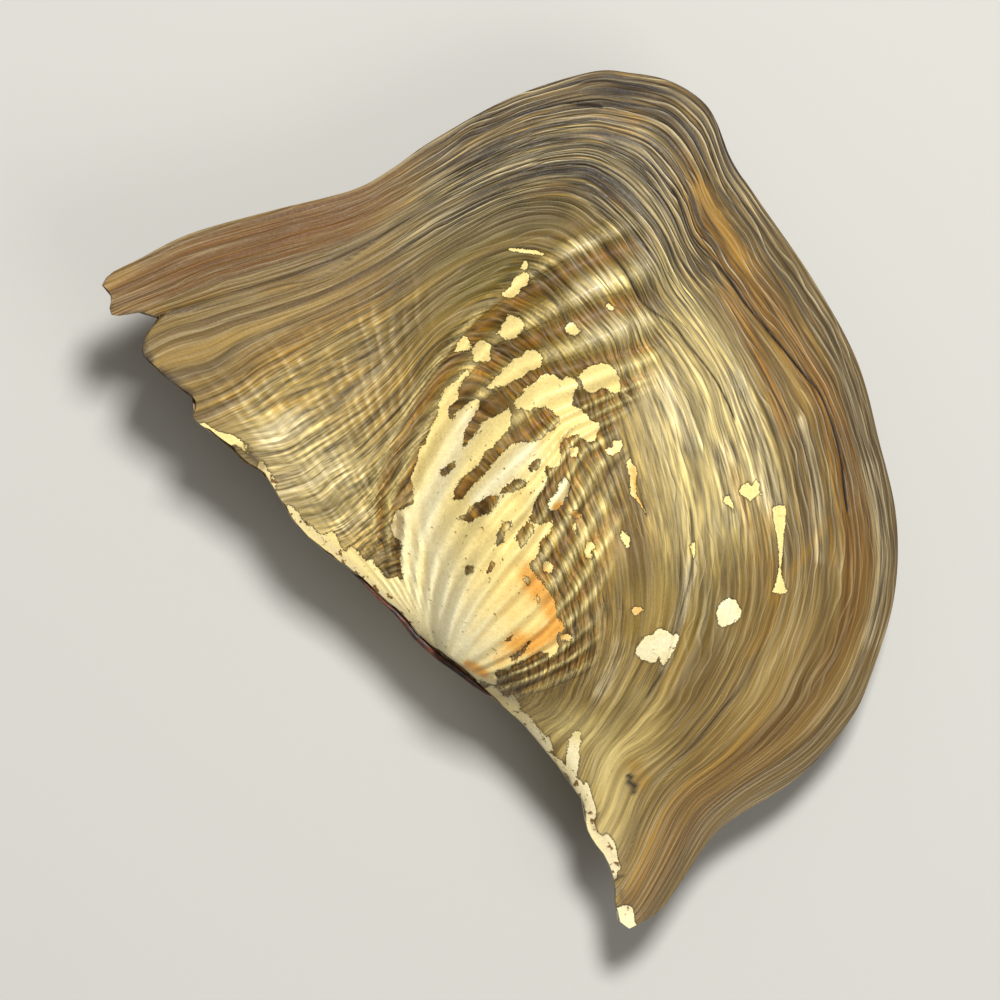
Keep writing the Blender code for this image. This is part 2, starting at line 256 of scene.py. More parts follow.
# %% Growth stages and columns of the grid
GROWTH_PER_RADIAN = 1.75
SMALLEST_LINE = 0.07
THINNEST_RIM = 0.7
TOP_EDGE_BLEND = 8.0
ARCH_BY_DIRECTION = [
    (-10, 0.55), (12, 0.55), (27, 0.60), (40, 0.80), (55, 1.0), (115, 1.0), (150, 0.75), (190, 0.6),
]
FULL_REACH = 60.0
INNER_ROWS = 130
OUTER_ROWS = 216
COLUMNS = 266
HALF_GROWN = 0.5


def smooth_step(value, low, high):
    share = np.clip((value - low) / (high - low), 0, 1)
    return share * share * (3 - 2 * share)


def smooth_line(points, shares):
    """Points at these shares of the length of a smooth curve through the given points."""
    points = np.array(points, float)
    before = np.vstack([2 * points[0] - points[1], points[:-1]])
    after = np.vstack([points[1:], 2 * points[-1] - points[-2]])
    tangents = (after - before) / 2
    dense = []
    for start, end, start_tangent, end_tangent in zip(points, points[1:], tangents, tangents[1:]):
        u = np.linspace(0, 1, 24, endpoint=False)[:, None]
        dense.append(
            (2 * u**3 - 3 * u**2 + 1) * start
            + (u**3 - 2 * u**2 + u) * start_tangent
            + (3 * u**2 - 2 * u**3) * end
            + (u**3 - u**2) * end_tangent
        )
    dense = np.vstack(dense + [points[-1:]])
    run = np.concatenate([[0], np.cumsum(np.linalg.norm(np.diff(dense, axis=0), axis=1))])
    return np.column_stack([np.interp(shares * run[-1], run, dense[:, i]) for i in (0, 1)])


def crowded_shares(count, crowding=1.0):
    """Shares of the growing edge, closer together over the part that the folds reach."""
    shares = np.linspace(0, 1, 1001)
    crowd = 1 + crowding * smooth_step(shares, 0.22, 0.34) * (1 - smooth_step(shares, 0.72, 0.80))
    run = np.cumsum(crowd)
    run = (run - run[0]) / (run[-1] - run[0])
    return np.interp(np.linspace(0, 1, count), run, shares)


def hinge_line(along):
    """The straight lines from the beak to the tips of the two wings."""
    front, back = GROWING_EDGE[0], GROWING_EDGE[-1]
    return np.where(along < 0, along / front[0] * front[1], along / back[0] * back[1])


def direction_of(points):
    """Direction from the beak in degrees: 0 along the back wing, 90 straight out."""
    degrees = np.degrees(np.arctan2(points[..., 1], points[..., 0]))
    return np.where(degrees < -90, degrees + 360, degrees)


stage_rows = np.concatenate([
    np.linspace(SMALLEST_LINE, HALF_GROWN, INNER_ROWS, endpoint=False),
    np.linspace(HALF_GROWN, 1.0, OUTER_ROWS),
])
edge_shares = crowded_shares(COLUMNS)
growing_edge = smooth_line(GROWING_EDGE, edge_shares)
print("rows:", len(stage_rows), "columns:", COLUMNS)

# %% The smooth form of a valve
def growth_surface(edge, stage, top_edge):
    """Where the points of the growing edge were at a stage of growth: along, out, up."""
    turn = -np.log(stage) / GROWTH_PER_RADIAN
    reach = edge[:, 1] - hinge_line(edge[:, 0])
    arch = np.interp(direction_of(edge), *zip(*ARCH_BY_DIRECTION))
    along = stage * edge[:, 0]
    out = stage * reach * np.cos(turn)
    shift = np.interp(along, *zip(*top_edge)) - hinge_line(along)
    shift = shift * np.clip(1 - out / TOP_EDGE_BLEND, 0, 1) ** 2
    up = RIM_HEIGHT + stage * reach * np.sin(turn) * arch
    return np.column_stack([along, hinge_line(along) + out + shift, up])


# %% [markdown]
# Where the growth lines really run
#
# The back wing is broken off along its top, so old growth lines run straight
# into the break. If the marks followed the grid they would curl round there.
# So each point of the plan gets its growth stage from the unbroken outline
# instead: the edge is made smaller until it passes through the point.

# %% The growth stage of any point of the plan
UNBROKEN_EDGE = [(-40.0, -22.0), (-36.4, -8.0)] + GROWING_EDGE[1:-2]
UNBROKEN_EDGE += [(58.6, -5.0), (62.0, -15.0), (66.5, -28.0)]
unbroken_edge = smooth_line(UNBROKEN_EDGE, np.linspace(0, 1, 1600))[::-1]
unbroken_directions = direction_of(unbroken_edge)
unbroken_reaches = np.linalg.norm(unbroken_edge, axis=1)
FLATTEST_TURN = 0.04


def growth_stage(plan):
    """The stage at which the edge passed each point of the plan, and the direction it lies in."""
    low, high = np.full(plan.shape[:-1], 0.02), np.full(plan.shape[:-1], 1.3)
    level = hinge_line(plan[..., 0])
    for _ in range(24):
        middle = (low + high) / 2
        turn = np.maximum(np.cos(np.log(middle) / GROWTH_PER_RADIAN), FLATTEST_TURN)
        full_out = (plan[..., 1] - level) / turn + level
        full_size = np.stack([plan[..., 0], full_out], axis=-1) / middle[..., None]
        direction = direction_of(full_size)
        reach = np.interp(direction, unbroken_directions, unbroken_reaches)
        outside = np.linalg.norm(full_size, axis=-1) > reach
        low, high = np.where(outside, middle, low), np.where(outside, high, middle)
    return (low + high) / 2, direction

# %% [markdown]
# Random but repeatable
#
# Nature is never even, and yet this file must give the same shell each time.
# So each bit of chance starts from a fixed seed. The helper below gives
# smooth random patches that the next steps bend lines and fade marks with.

# %% Smooth random patches
KNOTS = 64


def patchy(x, y, seed):
    """Smooth random patches from -1 to 1, one knot to each unit of x and of y."""
    knots = np.random.default_rng(seed).uniform(-1, 1, (KNOTS, KNOTS))
    column, row = np.floor(x).astype(int), np.floor(y).astype(int)
    across, down = smooth_step(x - column, 0, 1), smooth_step(y - row, 0, 1)
    near = knots[column % KNOTS, row % KNOTS] * (1 - across)
    near = near + knots[(column + 1) % KNOTS, row % KNOTS] * across
    far = knots[column % KNOTS, (row + 1) % KNOTS] * (1 - across)
    far = far + knots[(column + 1) % KNOTS, (row + 1) % KNOTS] * across
    return near * (1 - down) + far * down


# %% [markdown]
# Folds, riblets and growth steps
#
# Three kinds of relief lie on the smooth form. Low folds fan out from the
# beak over the middle. Fine riblets fan out over the back slope. And each
# pause in growth left a small step, like the edge of a shingle, that runs
# round the whole valve. A noise texture alone can't follow the growth lines,
# so this relief is moved into the mesh, row by row.

# %% Folds
FOLD_STATIONS = (0.0, 3.0, 6.0, 10.0, 15.0, 20.0, 26.0, 32.0, 38.0, 46.0)
FOLD_VALLEYS = [
    (-6.0, -7.3, -8.6, -9.8, -10.6, -10.4, -9.4, -8.4, -7.4, -6.4),
    (-4.6, -5.8, -6.9, -7.8, -8.2, -7.6, -6.4, -5.6, -5.0, -4.6),
    (-3.2, -4.5, -5.6, -6.5, -6.6, -5.6, -4.2, -3.6, -3.2, -3.0),
    (-2.2, -3.4, -4.4, -5.1, -4.8, -3.6, -1.9, -1.4, -1.2, -1.2),
    (-1.4, -2.4, -3.2, -3.4, -2.7, -1.4, 0.4, 1.0, 0.8, 0.6),
    (-0.8, -1.3, -1.7, -1.7, -0.9, 0.9, 2.7, 3.2, 2.4, 2.0),
    (0.1, 0.4, 0.8, 1.0, 1.9, 3.6, 5.8, 5.4, 4.0, 3.4),
    (1.1, 2.0, 2.9, 3.7, 4.7, 6.2, 8.4, 7.4, 5.6, 4.8),
    (2.1, 3.6, 5.0, 6.1, 7.2, 8.5, 10.3, 9.0, 7.2, 6.0),
    (3.3, 5.4, 7.2, 8.6, 9.6, 10.3, 11.7, 10.4, 8.6, 7.2),
    (4.6, 7.4, 9.6, 11.0, 11.9, 11.9, 13.0, 11.6, 9.8, 8.6),
    (6.0, 9.4, 12.2, 13.9, 14.7, 14.7, 14.7, 12.8, 10.9, 9.7),
    (7.6, 11.6, 14.8, 16.6, 18.5, 19.8, 19.2, 16.6, 13.9, 11.0),
    (9.4, 14.0, 17.4, 19.4, 21.4, 22.7, 23.4, 21.3, 19.6, 15.5),
    (11.4, 16.6, 20.0, 22.2, 24.4, 25.8, 26.9, 26.5, 25.4, 22.8),
    (13.6, 19.4, 22.8, 25.2, 27.4, 28.9, 30.2, 30.8, 30.0, 28.0),
]
FOLDS_END = [
    (-12, 14), (-8.5, 15), (-6, 17), (-3, 21), (0.6, 26), (6.2, 29.5), (9.0, 32), (10.3, 38),
    (13.5, 43), (23, 48), (30, 48),
]
FOLD_FADE = 6.0
FOLD_HEIGHT = {"left_valve": 0.58, "right_valve": 0.38}
FULL_FOLD_PITCH = 3.2
BEAD_PITCH = 2.0


def fold_relief(along, out, seed):
    """Two sheets: the folds from -1 in a valley to 1 on a crest, and their height in millimetres."""
    lines = np.array([np.interp(out, FOLD_STATIONS, row) for row in FOLD_VALLEYS])
    count = np.arange(len(lines))
    pairs = list(zip(along, lines.T))
    phase = np.array([np.interp(here, places, count) for here, places in pairs])
    pitch = np.array([np.interp(here, places, np.gradient(places)) for here, places in pairs])
    inside = np.clip(np.minimum(phase, len(lines) - 1 - phase) * 1.5, 0, 1)
    end = np.interp(along, *zip(*FOLDS_END))
    shown = inside * smooth_step(out, 0.0, 4.0) * (1 - smooth_step(out, end - FOLD_FADE, end))
    wave = -np.cos(2 * np.pi * phase) * shown
    beads = patchy(phase + 7, out / BEAD_PITCH + 0.3 * phase, seed)
    beads = beads * smooth_step(out, 9, 14) * (along < 12)
    height = np.clip(pitch / FULL_FOLD_PITCH, 0.5, 1.3) * (wave + 0.8 * beads * shown)
    return wave, height

# %% Riblets of the back slope
RIBLET_DEGREES = 4.6
RIBLET_HEIGHT = 0.10


def riblet_relief(direction, stage, seed):
    """Two sheets: the coarse riblets of the slope behind the folds, and where riblets lie at all."""
    bent = direction + 0.8 * patchy(direction / 9, stage * 7, seed)
    wave = np.cos(2 * np.pi * bent / RIBLET_DEGREES)
    here = smooth_step(direction, -6, 0) * (1 - smooth_step(direction, 28, 38))
    here = here * smooth_step(stage, 0.14, 0.22) * (1 - smooth_step(stage, 0.62, 0.76))
    return wave * here * (1 - smooth_step(stage, 0.4, 0.6)), here
# %% Growth steps, as tables against the millimetres grown
STEP_TABLE = np.linspace(0, FULL_REACH + 2, 9001)


def growth_steps(seed, spacing, height):
    """Height and shadow of random growth steps. Each rises to a lip and then drops."""
    chance = np.random.default_rng(seed)
    rise = np.zeros_like(STEP_TABLE)
    shadow = np.zeros_like(STEP_TABLE)
    start, drop = 0.0, 0.0
    while start < STEP_TABLE[-1]:
        gap = chance.uniform(*spacing)
        inside = (STEP_TABLE >= start) & (STEP_TABLE < start + gap)
        shadow[inside] = drop * np.exp(-(STEP_TABLE[inside] - start) / 0.16)
        share = (STEP_TABLE[inside] - start) / gap
        tall = chance.uniform(*height)
        rise[inside] = tall * (share**1.6 - 0.38)
        start, drop = start + gap, tall
    return rise, shadow / height[1]


# %% [markdown]
# Growth lines traced from the photograph
#
# An animal doesn't grow by one exact rule. A dozen growth lines are easy to
# follow in the photograph. Each is traced as pixels and has a stage of
# growth. The difference from the rule is then known along each line, and
# between the lines it is blended. Some of these lines are also deep ledges,
# and the second list gives the drop of each ledge in millimetres.

# %% Traced growth lines, in pixels of the photograph
GROWTH_LINES = [
    (0.948, [(137, 276), (172, 260), (205, 248), (234, 240), (275, 229), (316, 219), (346, 213),
             (380, 203), (410, 188), (440, 166), (475, 143), (504, 127), (535, 114), (572, 104),
             (600, 103), (630, 103), (656, 108), (676, 118), (689, 138), (700, 167), (718, 191),
             (745, 227), (767, 260), (789, 293)]),
    (0.888, [(479, 156), (504, 147), (535, 141), (568, 134), (590, 131), (610, 134), (628, 138),
             (645, 145), (658, 156), (667, 176), (676, 196), (684, 218), (693, 240), (708, 258),
             (724, 273), (749, 309), (777, 343), (797, 368), (820, 396), (838, 451), (845, 506),
             (853, 555), (853, 581), (847, 621), (834, 661)]),
    (0.820, [(164, 316), (204, 309), (246, 298), (276, 287), (319, 279), (347, 262), (378, 239),
             (406, 220), (430, 207), (450, 197), (468, 187), (490, 175), (515, 163), (545, 155),
             (575, 152), (597, 155), (612, 163), (623, 174), (636, 188), (650, 203), (663, 220),
             (674, 238), (689, 262), (707, 286), (725, 312), (743, 344), (756, 372), (776, 415),
             (787, 440), (797, 470)]),
    (0.853, [(805, 438), (814, 464), (818, 495), (819, 533), (821, 559), (818, 588), (812, 621),
             (800, 654), (785, 687), (765, 716), (741, 745), (719, 767), (692, 787), (674, 809),
             (660, 835), (648, 862), (637, 888), (630, 908)]),
    (0.771, [(168, 336), (205, 324), (250, 311), (287, 301), (326, 289), (357, 276), (380, 261),
             (408, 246), (439, 228), (470, 209), (504, 195), (535, 185), (557, 177), (579, 176),
             (597, 184), (608, 197), (619, 212), (630, 228), (641, 242), (656, 260), (667, 281),
             (689, 312), (707, 338), (725, 371), (743, 404), (756, 440), (766, 480), (774, 515),
             (780, 555), (777, 600), (770, 625), (756, 655), (745, 683), (723, 707), (704, 733),
             (683, 754), (668, 775), (652, 800), (637, 829), (628, 859), (622, 872)]),
    (0.705, [(193, 391), (220, 376), (254, 352), (287, 334), (330, 312), (363, 295), (398, 272),
             (427, 252), (452, 238), (475, 230), (505, 214), (530, 206), (544, 204), (563, 207),
             (579, 218), (592, 233), (601, 245), (610, 254), (619, 272), (632, 290), (648, 309),
             (674, 326), (688, 346), (705, 366), (719, 388)]),
    (0.633, [(205, 424), (238, 406), (260, 393), (300, 368), (336, 346), (360, 328), (385, 310),
             (410, 298), (432, 282), (455, 264), (480, 246), (505, 231), (530, 222), (550, 221),
             (566, 230), (578, 244), (589, 262), (601, 284), (615, 308), (628, 330), (640, 350),
             (650, 374), (660, 400), (668, 427), (675, 449), (681, 475), (688, 506), (692, 546),
             (692, 559), (689, 577), (686, 591), (682, 606), (677, 621), (673, 640), (665, 665),
             (657, 683), (639, 703), (624, 718), (612, 735), (602, 760), (594, 785), (590, 812)]),
    (0.556, [(260, 449), (281, 449), (300, 442), (318, 428), (335, 416), (357, 404), (377, 385),
             (398, 362), (415, 340), (430, 320), (447, 303), (465, 291), (482, 282), (500, 272),
             (515, 266), (528, 268), (536, 283), (545, 294), (555, 305), (565, 320), (578, 335),
             (590, 352), (600, 370), (612, 392), (620, 415), (626, 440), (633, 465), (637, 485),
             (645, 510), (652, 535), (657, 560), (660, 590), (657, 620), (645, 655), (630, 685),
             (612, 712), (598, 735), (588, 760), (580, 785)]),
    (0.490, [(281, 486), (306, 478), (320, 466), (347, 453), (365, 436), (380, 418), (398, 398),
             (412, 375), (425, 352), (440, 335), (460, 320), (478, 310), (492, 305), (503, 312),
             (515, 328), (528, 345), (540, 365), (552, 385), (562, 405), (575, 430), (588, 450),
             (600, 475), (610, 500), (618, 530), (623, 560), (627, 590), (626, 615), (621, 645),
             (610, 675), (595, 702), (582, 725), (574, 745)]),
    (0.411, [(312, 527), (335, 520), (357, 508), (375, 490), (388, 470), (398, 450), (408, 428),
             (418, 408), (430, 390), (445, 374), (458, 364), (470, 366), (480, 378), (490, 394),
             (503, 414), (516, 436), (530, 460), (543, 485), (555, 510), (566, 535), (578, 562),
             (588, 590), (595, 615), (597, 640), (591, 665), (579, 690), (565, 710), (553, 730)]),
    (0.312, [(340, 556), (360, 545), (378, 530), (390, 512), (398, 492), (406, 472), (416, 456),
             (428, 448), (440, 454), (452, 470), (466, 495), (482, 520), (498, 545), (515, 570),
             (530, 592), (545, 620), (552, 645), (548, 668), (538, 690), (528, 708)]),
    (0.922, [(856, 466), (869, 515), (872, 555), (869, 592), (860, 632), (845, 670), (820, 703),
             (798, 732), (772, 754), (741, 776), (723, 793)]),
    (0.956, [(856, 676), (825, 732), (800, 754), (767, 771), (745, 785), (723, 804), (700, 830),
             (683, 858), (668, 885), (652, 912)]),
]
DEEP_LEDGES = [
    ([(608, 249), (620, 265), (632, 287), (648, 309), (674, 326), (688, 346), (705, 366),
      (719, 388), (732, 413)], 0.40),
    ([(676, 196), (693, 240), (708, 258), (724, 273), (749, 309), (777, 343), (797, 368),
      (820, 396), (838, 451), (845, 506)], 0.40),
    ([(164, 316), (204, 309), (246, 298), (276, 287), (319, 279), (347, 262), (378, 239),
      (406, 220), (450, 197)], 0.26),
    ([(690, 515), (692, 541), (692, 559), (689, 577), (686, 591), (682, 606), (677, 621),
      (673, 640), (665, 665), (650, 690)], 0.30),
    ([(756, 655), (745, 683), (723, 707), (704, 733), (683, 754), (668, 775), (652, 800),
      (637, 829), (628, 859)], 0.20),
    ([(620, 415), (626, 440), (633, 465), (637, 485), (645, 510)], 0.26),
    ([(450, 180), (490, 166), (530, 150), (568, 143), (605, 147), (630, 158), (650, 182)], 0.30),
    ([(470, 268), (488, 258), (505, 251), (530, 248)], 0.22),
    ([(515, 266), (528, 268), (536, 283), (545, 294), (555, 305), (562, 316)], 0.22),
    ([(560, 103), (575, 104), (600, 106)], 0.35),
]

# %% [markdown]
# Where the skin has worn off
#
# The skin is gone from the beak and from the crests of the folds, in sharp
# scraps like flaked paint. Their outlines are traced too. Each point of the
# grid gets its distance in millimetres to the nearest outline, positive where
# the shell is bare. The material can then cut the scraps out cleanly and add
# its own fine ragged edge, however coarse the grid is.

# %% Outlines of the bare places, in pixels of the photograph
BEAK_BARE = [
    (404, 580), (401, 569), (400, 555), (402, 547), (399, 540), (392, 534), (391, 526), (393, 518),
    (397, 510), (405, 508), (412, 503), (413, 495), (413, 485), (411, 478), (414, 470), (417, 463),
    (419, 452), (421, 446), (426, 445), (426, 439), (429, 432), (431, 426), (435, 420), (438, 413),
    (438, 404), (440, 398), (443, 391), (449, 385), (457, 380), (460, 375), (464, 370), (469, 372),
    (468, 376), (462, 380), (461, 385), (458, 391), (459, 397), (456, 402), (449, 408), (449, 413),
    (449, 417), (453, 420), (455, 414), (460, 410), (464, 405), (470, 401), (476, 398), (479, 400),
    (480, 405), (478, 410), (474, 417), (470, 423), (467, 427), (465, 433), (464, 439), (462, 449),
    (465, 446), (470, 441), (477, 433), (480, 427), (483, 423), (487, 419), (495, 416), (502, 413),
    (508, 408), (511, 415), (510, 419), (510, 426), (505, 433), (498, 441), (492, 448), (484, 452),
    (480, 464), (470, 472), (459, 481), (455, 489), (454, 499), (463, 500), (468, 491), (475, 484),
    (483, 476), (490, 468), (499, 457), (505, 452), (511, 445), (515, 443), (523, 442), (531, 442),
    (542, 439), (546, 433), (557, 428), (552, 425), (559, 423), (558, 417), (552, 410), (545, 407),
    (534, 408), (526, 411), (520, 409), (514, 408), (515, 402), (517, 398), (523, 394), (525, 388),
    (531, 385), (537, 382), (541, 376), (548, 374), (555, 375), (562, 380), (567, 377), (573, 378),
    (579, 386), (573, 392), (574, 400), (573, 405), (580, 409), (586, 413), (590, 420), (599, 423),
    (600, 429), (597, 435), (596, 441), (591, 442), (586, 441), (581, 438), (577, 435), (570, 436),
    (564, 439), (560, 444), (561, 455), (559, 466), (552, 468), (547, 466), (544, 470), (547, 477),
    (545, 486), (540, 493), (534, 503), (533, 511), (531, 516), (528, 521), (541, 524), (553, 521),
    (554, 524), (550, 533), (544, 538), (540, 543), (539, 552), (535, 558), (531, 562), (529, 566),
    (537, 577), (542, 581), (545, 587), (550, 593), (554, 599), (556, 606), (556, 615), (559, 619),
    (563, 622), (565, 628), (562, 632), (557, 633), (557, 640), (559, 647), (553, 655), (549, 659),
    (548, 653), (540, 652), (533, 655), (525, 660), (512, 665), (511, 669), (505, 670), (499, 669),
    (495, 673), (497, 677), (497, 684), (493, 685), (487, 683), (480, 680), (474, 705), (430, 690),
    (300, 570), (270, 520), (282, 506), (291, 505), (297, 511), (301, 518), (305, 523), (312, 526),
    (317, 532), (323, 536), (330, 531), (336, 535), (339, 541), (344, 552), (350, 546), (357, 550),
    (361, 556), (366, 561), (372, 558), (375, 565), (380, 570), (384, 576), (388, 579), (392, 579),
    (396, 576), (400, 578),
]
BARE_SCRAPS = [
    [(772, 507), (779, 505), (786, 506), (786, 518), (784, 532), (783, 546), (782, 560), (781, 575),
     (784, 583), (788, 592), (780, 594), (772, 592), (776, 583), (778, 572), (779, 558), (778, 545),
     (776, 532), (773, 519)],
    [(741, 486), (748, 482), (752, 486), (756, 479), (760, 484), (758, 490), (763, 494), (756, 496),
     (750, 501), (744, 497), (738, 493)],
    [(723, 497), (729, 495), (733, 503), (734, 512), (730, 506), (724, 503)],
    [(605, 305), (610, 302), (613, 306), (619, 309), (612, 311), (608, 308)],
    [(523, 272), (528, 274), (529, 279), (527, 285), (521, 288), (520, 293), (514, 297), (508, 298),
     (504, 297), (500, 295), (502, 292), (507, 289), (510, 286), (512, 281), (514, 277), (517, 275)],
    [(520, 269), (523, 262), (528, 260), (528, 264), (526, 270)],
    [(508, 248), (523, 249), (534, 250), (544, 253), (544, 256), (534, 254), (523, 253), (510, 251)],
    [(509, 314), (514, 316), (520, 319), (523, 323), (525, 325), (520, 332), (518, 336), (514, 339),
     (508, 340), (502, 338), (500, 335), (495, 334), (497, 331), (501, 328), (503, 323), (506, 320)],
    [(569, 323), (573, 322), (577, 324), (578, 328), (583, 330), (578, 333), (575, 336), (572, 335),
     (568, 332), (566, 328)],
    [(479, 341), (482, 340), (486, 342), (489, 344), (491, 348), (490, 353), (491, 359), (489, 362),
     (480, 361), (472, 361), (473, 356), (471, 351), (474, 347)],
    [(460, 338), (464, 335), (471, 341), (471, 347), (467, 351), (461, 351), (455, 353), (457, 344)],
    [(528, 350), (535, 349), (537, 352), (542, 356), (541, 363), (540, 367), (536, 369), (530, 370),
     (526, 375), (520, 379), (511, 381), (505, 386), (495, 386), (493, 389), (485, 389), (493, 380),
     (498, 375), (504, 367), (511, 363), (514, 358), (521, 358), (525, 351)],
    [(576, 377), (580, 375), (583, 371), (589, 367), (596, 365), (602, 363), (608, 364), (614, 369),
     (618, 375), (620, 379), (621, 385), (620, 391), (616, 394), (612, 393), (608, 389), (602, 388),
     (596, 392), (590, 393), (584, 389), (581, 385), (580, 380)],
    [(565, 478), (572, 484), (569, 493), (563, 503), (559, 509), (550, 511), (547, 506), (550, 500),
     (556, 492), (559, 484)],
    [(543, 565), (547, 560), (553, 563), (554, 568), (550, 574), (544, 572)],
    [(559, 635), (569, 634), (573, 637), (570, 641), (562, 640)],
    [(613, 441), (622, 440), (623, 446), (620, 451), (612, 456), (606, 455), (606, 449), (612, 447)],
    [(630, 457), (632, 462), (638, 470), (636, 478), (636, 489), (637, 496), (641, 502), (645, 511),
     (647, 515), (636, 500), (630, 494), (630, 478), (628, 472), (626, 464)],
    [(587, 542), (594, 542), (596, 546), (591, 552), (594, 558), (588, 559), (584, 553)],
    [(567, 513), (575, 510), (580, 512), (583, 516), (576, 518)],
    [(622, 531), (626, 533), (630, 539), (630, 544), (627, 549), (623, 543), (620, 536)],
    [(635, 653), (637, 647), (641, 640), (645, 636), (653, 635), (656, 630), (661, 628), (667, 631),
     (673, 636), (677, 633), (680, 637), (676, 647), (669, 659), (663, 667), (659, 656), (655, 663),
     (648, 662), (641, 659)],
    [(689, 546), (695, 541), (696, 547), (694, 559)],
    [(630, 610), (635, 607), (641, 607), (644, 610), (639, 613), (635, 616)],
    [(716, 612), (719, 605), (724, 600), (729, 598), (736, 600), (739, 606), (742, 611), (740, 617),
     (735, 622), (728, 626), (723, 627), (718, 624)],
    [(575, 520), (577, 528), (577, 535), (573, 527)],
    [(569, 448), (577, 446), (580, 450), (576, 456), (571, 457)],
    [(493, 685), (500, 691), (503, 695), (508, 697), (513, 695), (516, 698), (520, 705), (520, 710),
     (527, 714), (533, 720), (537, 727), (543, 733), (549, 738), (552, 744), (553, 750), (549, 752),
     (555, 756), (562, 761), (566, 766), (566, 757), (568, 748), (569, 740), (573, 733), (577, 730),
     (581, 733), (581, 741), (579, 752), (580, 758), (578, 768), (576, 777), (581, 781), (584, 785),
     (586, 781), (590, 788), (592, 796), (595, 805), (597, 811), (594, 822), (598, 833), (603, 836),
     (606, 833), (612, 838), (616, 845), (617, 855), (619, 862), (621, 868), (617, 873), (617, 880),
     (600, 884), (590, 870), (550, 790), (500, 735), (470, 695)],
    [(612, 906), (619, 908), (624, 905), (629, 904), (633, 908), (634, 914), (635, 921), (640, 935),
     (612, 935)],
    [(198, 419), (204, 421), (208, 425), (212, 428), (216, 431), (222, 432), (230, 434), (236, 436),
     (240, 440), (245, 443), (249, 445), (252, 450), (254, 455), (250, 455), (245, 451), (240, 447),
     (235, 446), (231, 445), (222, 445), (200, 430)],
    [(259, 460), (264, 461), (267, 468), (271, 474), (275, 480), (278, 487), (270, 492), (255, 475)],
]
SKIN_LEFT_ON = [
    [(441, 476), (441, 470), (447, 467), (453, 462), (456, 461), (455, 467), (450, 471), (445, 477)],
    [(455, 518), (463, 520), (470, 524), (475, 518), (488, 514), (494, 507), (499, 499), (498, 495),
     (488, 496), (480, 502), (473, 504), (468, 509), (466, 514)],
    [(498, 496), (513, 491), (526, 486), (529, 481), (516, 479), (510, 483), (503, 489)],
    [(496, 547), (504, 542), (503, 533), (511, 527), (512, 521), (503, 522), (499, 531), (496, 535)],
    [(516, 537), (521, 548), (532, 534), (534, 526), (529, 522), (522, 528)],
    [(464, 566), (473, 566), (474, 572), (466, 575)],
    [(486, 572), (492, 561), (496, 566), (489, 574)],
    [(522, 580), (525, 575), (531, 580), (529, 586)],
    [(535, 595), (537, 594), (540, 603), (537, 604)],
    [(504, 642), (510, 636), (512, 635), (511, 640)],
    [(511, 657), (520, 650), (530, 640), (531, 643), (524, 652), (514, 661)],
    [(527, 469), (533, 462), (539, 458), (541, 462), (537, 469), (530, 472)],
]

# %% Distance to an outline or a line
def distance_to_line(pixels, line):
    """Distance in pixels from each of these places to a line of straight pieces."""
    nearest = np.full(pixels.shape[:-1], 1e9)
    line = np.array(line, float)
    for start, end in zip(line, line[1:]):
        piece = end - start
        share = np.clip(((pixels - start) @ piece) / (piece @ piece), 0, 1)
        nearest = np.minimum(nearest, np.linalg.norm(pixels - start - share[..., None] * piece, axis=-1))
    return nearest


def depth_inside(pixels, outline):
    """Distance in millimetres to a closed outline, positive inside it."""
    outline = np.array(outline, float)
    closed = np.vstack([outline, outline[:1]])
    depth = np.full(pixels.shape[:-1], -9.0)
    margin = 30
    near = ((pixels > closed.min(axis=0) - margin) & (pixels < closed.max(axis=0) + margin)).all(axis=-1)
    places = pixels[near]
    crossings = np.zeros(len(places), int)
    for (x0, y0), (x1, y1) in zip(closed, closed[1:]):
        spans = (y0 > places[:, 1]) != (y1 > places[:, 1])
        height = y1 - y0 if y1 != y0 else 1.0
        crossings += spans & (places[:, 0] < (x1 - x0) * (places[:, 1] - y0) / height + x0)
    side = np.where(crossings % 2 == 1, 1.0, -1.0)
    depth[near] = side * distance_to_line(places, closed) * MM_PER_PIXEL
    return depth


def bare_depth(pixels):
    """Depth in millimetres inside the nearest bare place, negative under the skin."""
    bare = depth_inside(pixels, BEAK_BARE)
    for scrap in BARE_SCRAPS:
        bare = np.maximum(bare, depth_inside(pixels, scrap))
    for island in SKIN_LEFT_ON:
        bare = np.minimum(bare, -depth_inside(pixels, island))
    return bare


# %% Blend the traced growth lines into one field
FIELD_PITCH = 6
FIELD_REACH = 14.0
SMOOTHINGS = 4
SAMPLE_PIXELS = 9


def dense_line(line, every):
    """Places along a traced line, one every so many pixels."""
    line = np.array(line, float)
    length = np.linalg.norm(np.diff(line, axis=0), axis=1).sum()
    return smooth_line(line, np.linspace(0, 1, int(length / every) + 2))


def stage_at(pixels, stage, places):
    """Growth stage at the grid point nearest to each place in the photograph."""
    pixels, stage = pixels[::2].reshape(-1, 2), stage[::2].ravel()
    nearest = [np.argmin(((pixels - place) ** 2).sum(axis=1)) for place in places]
    return stage[nearest]


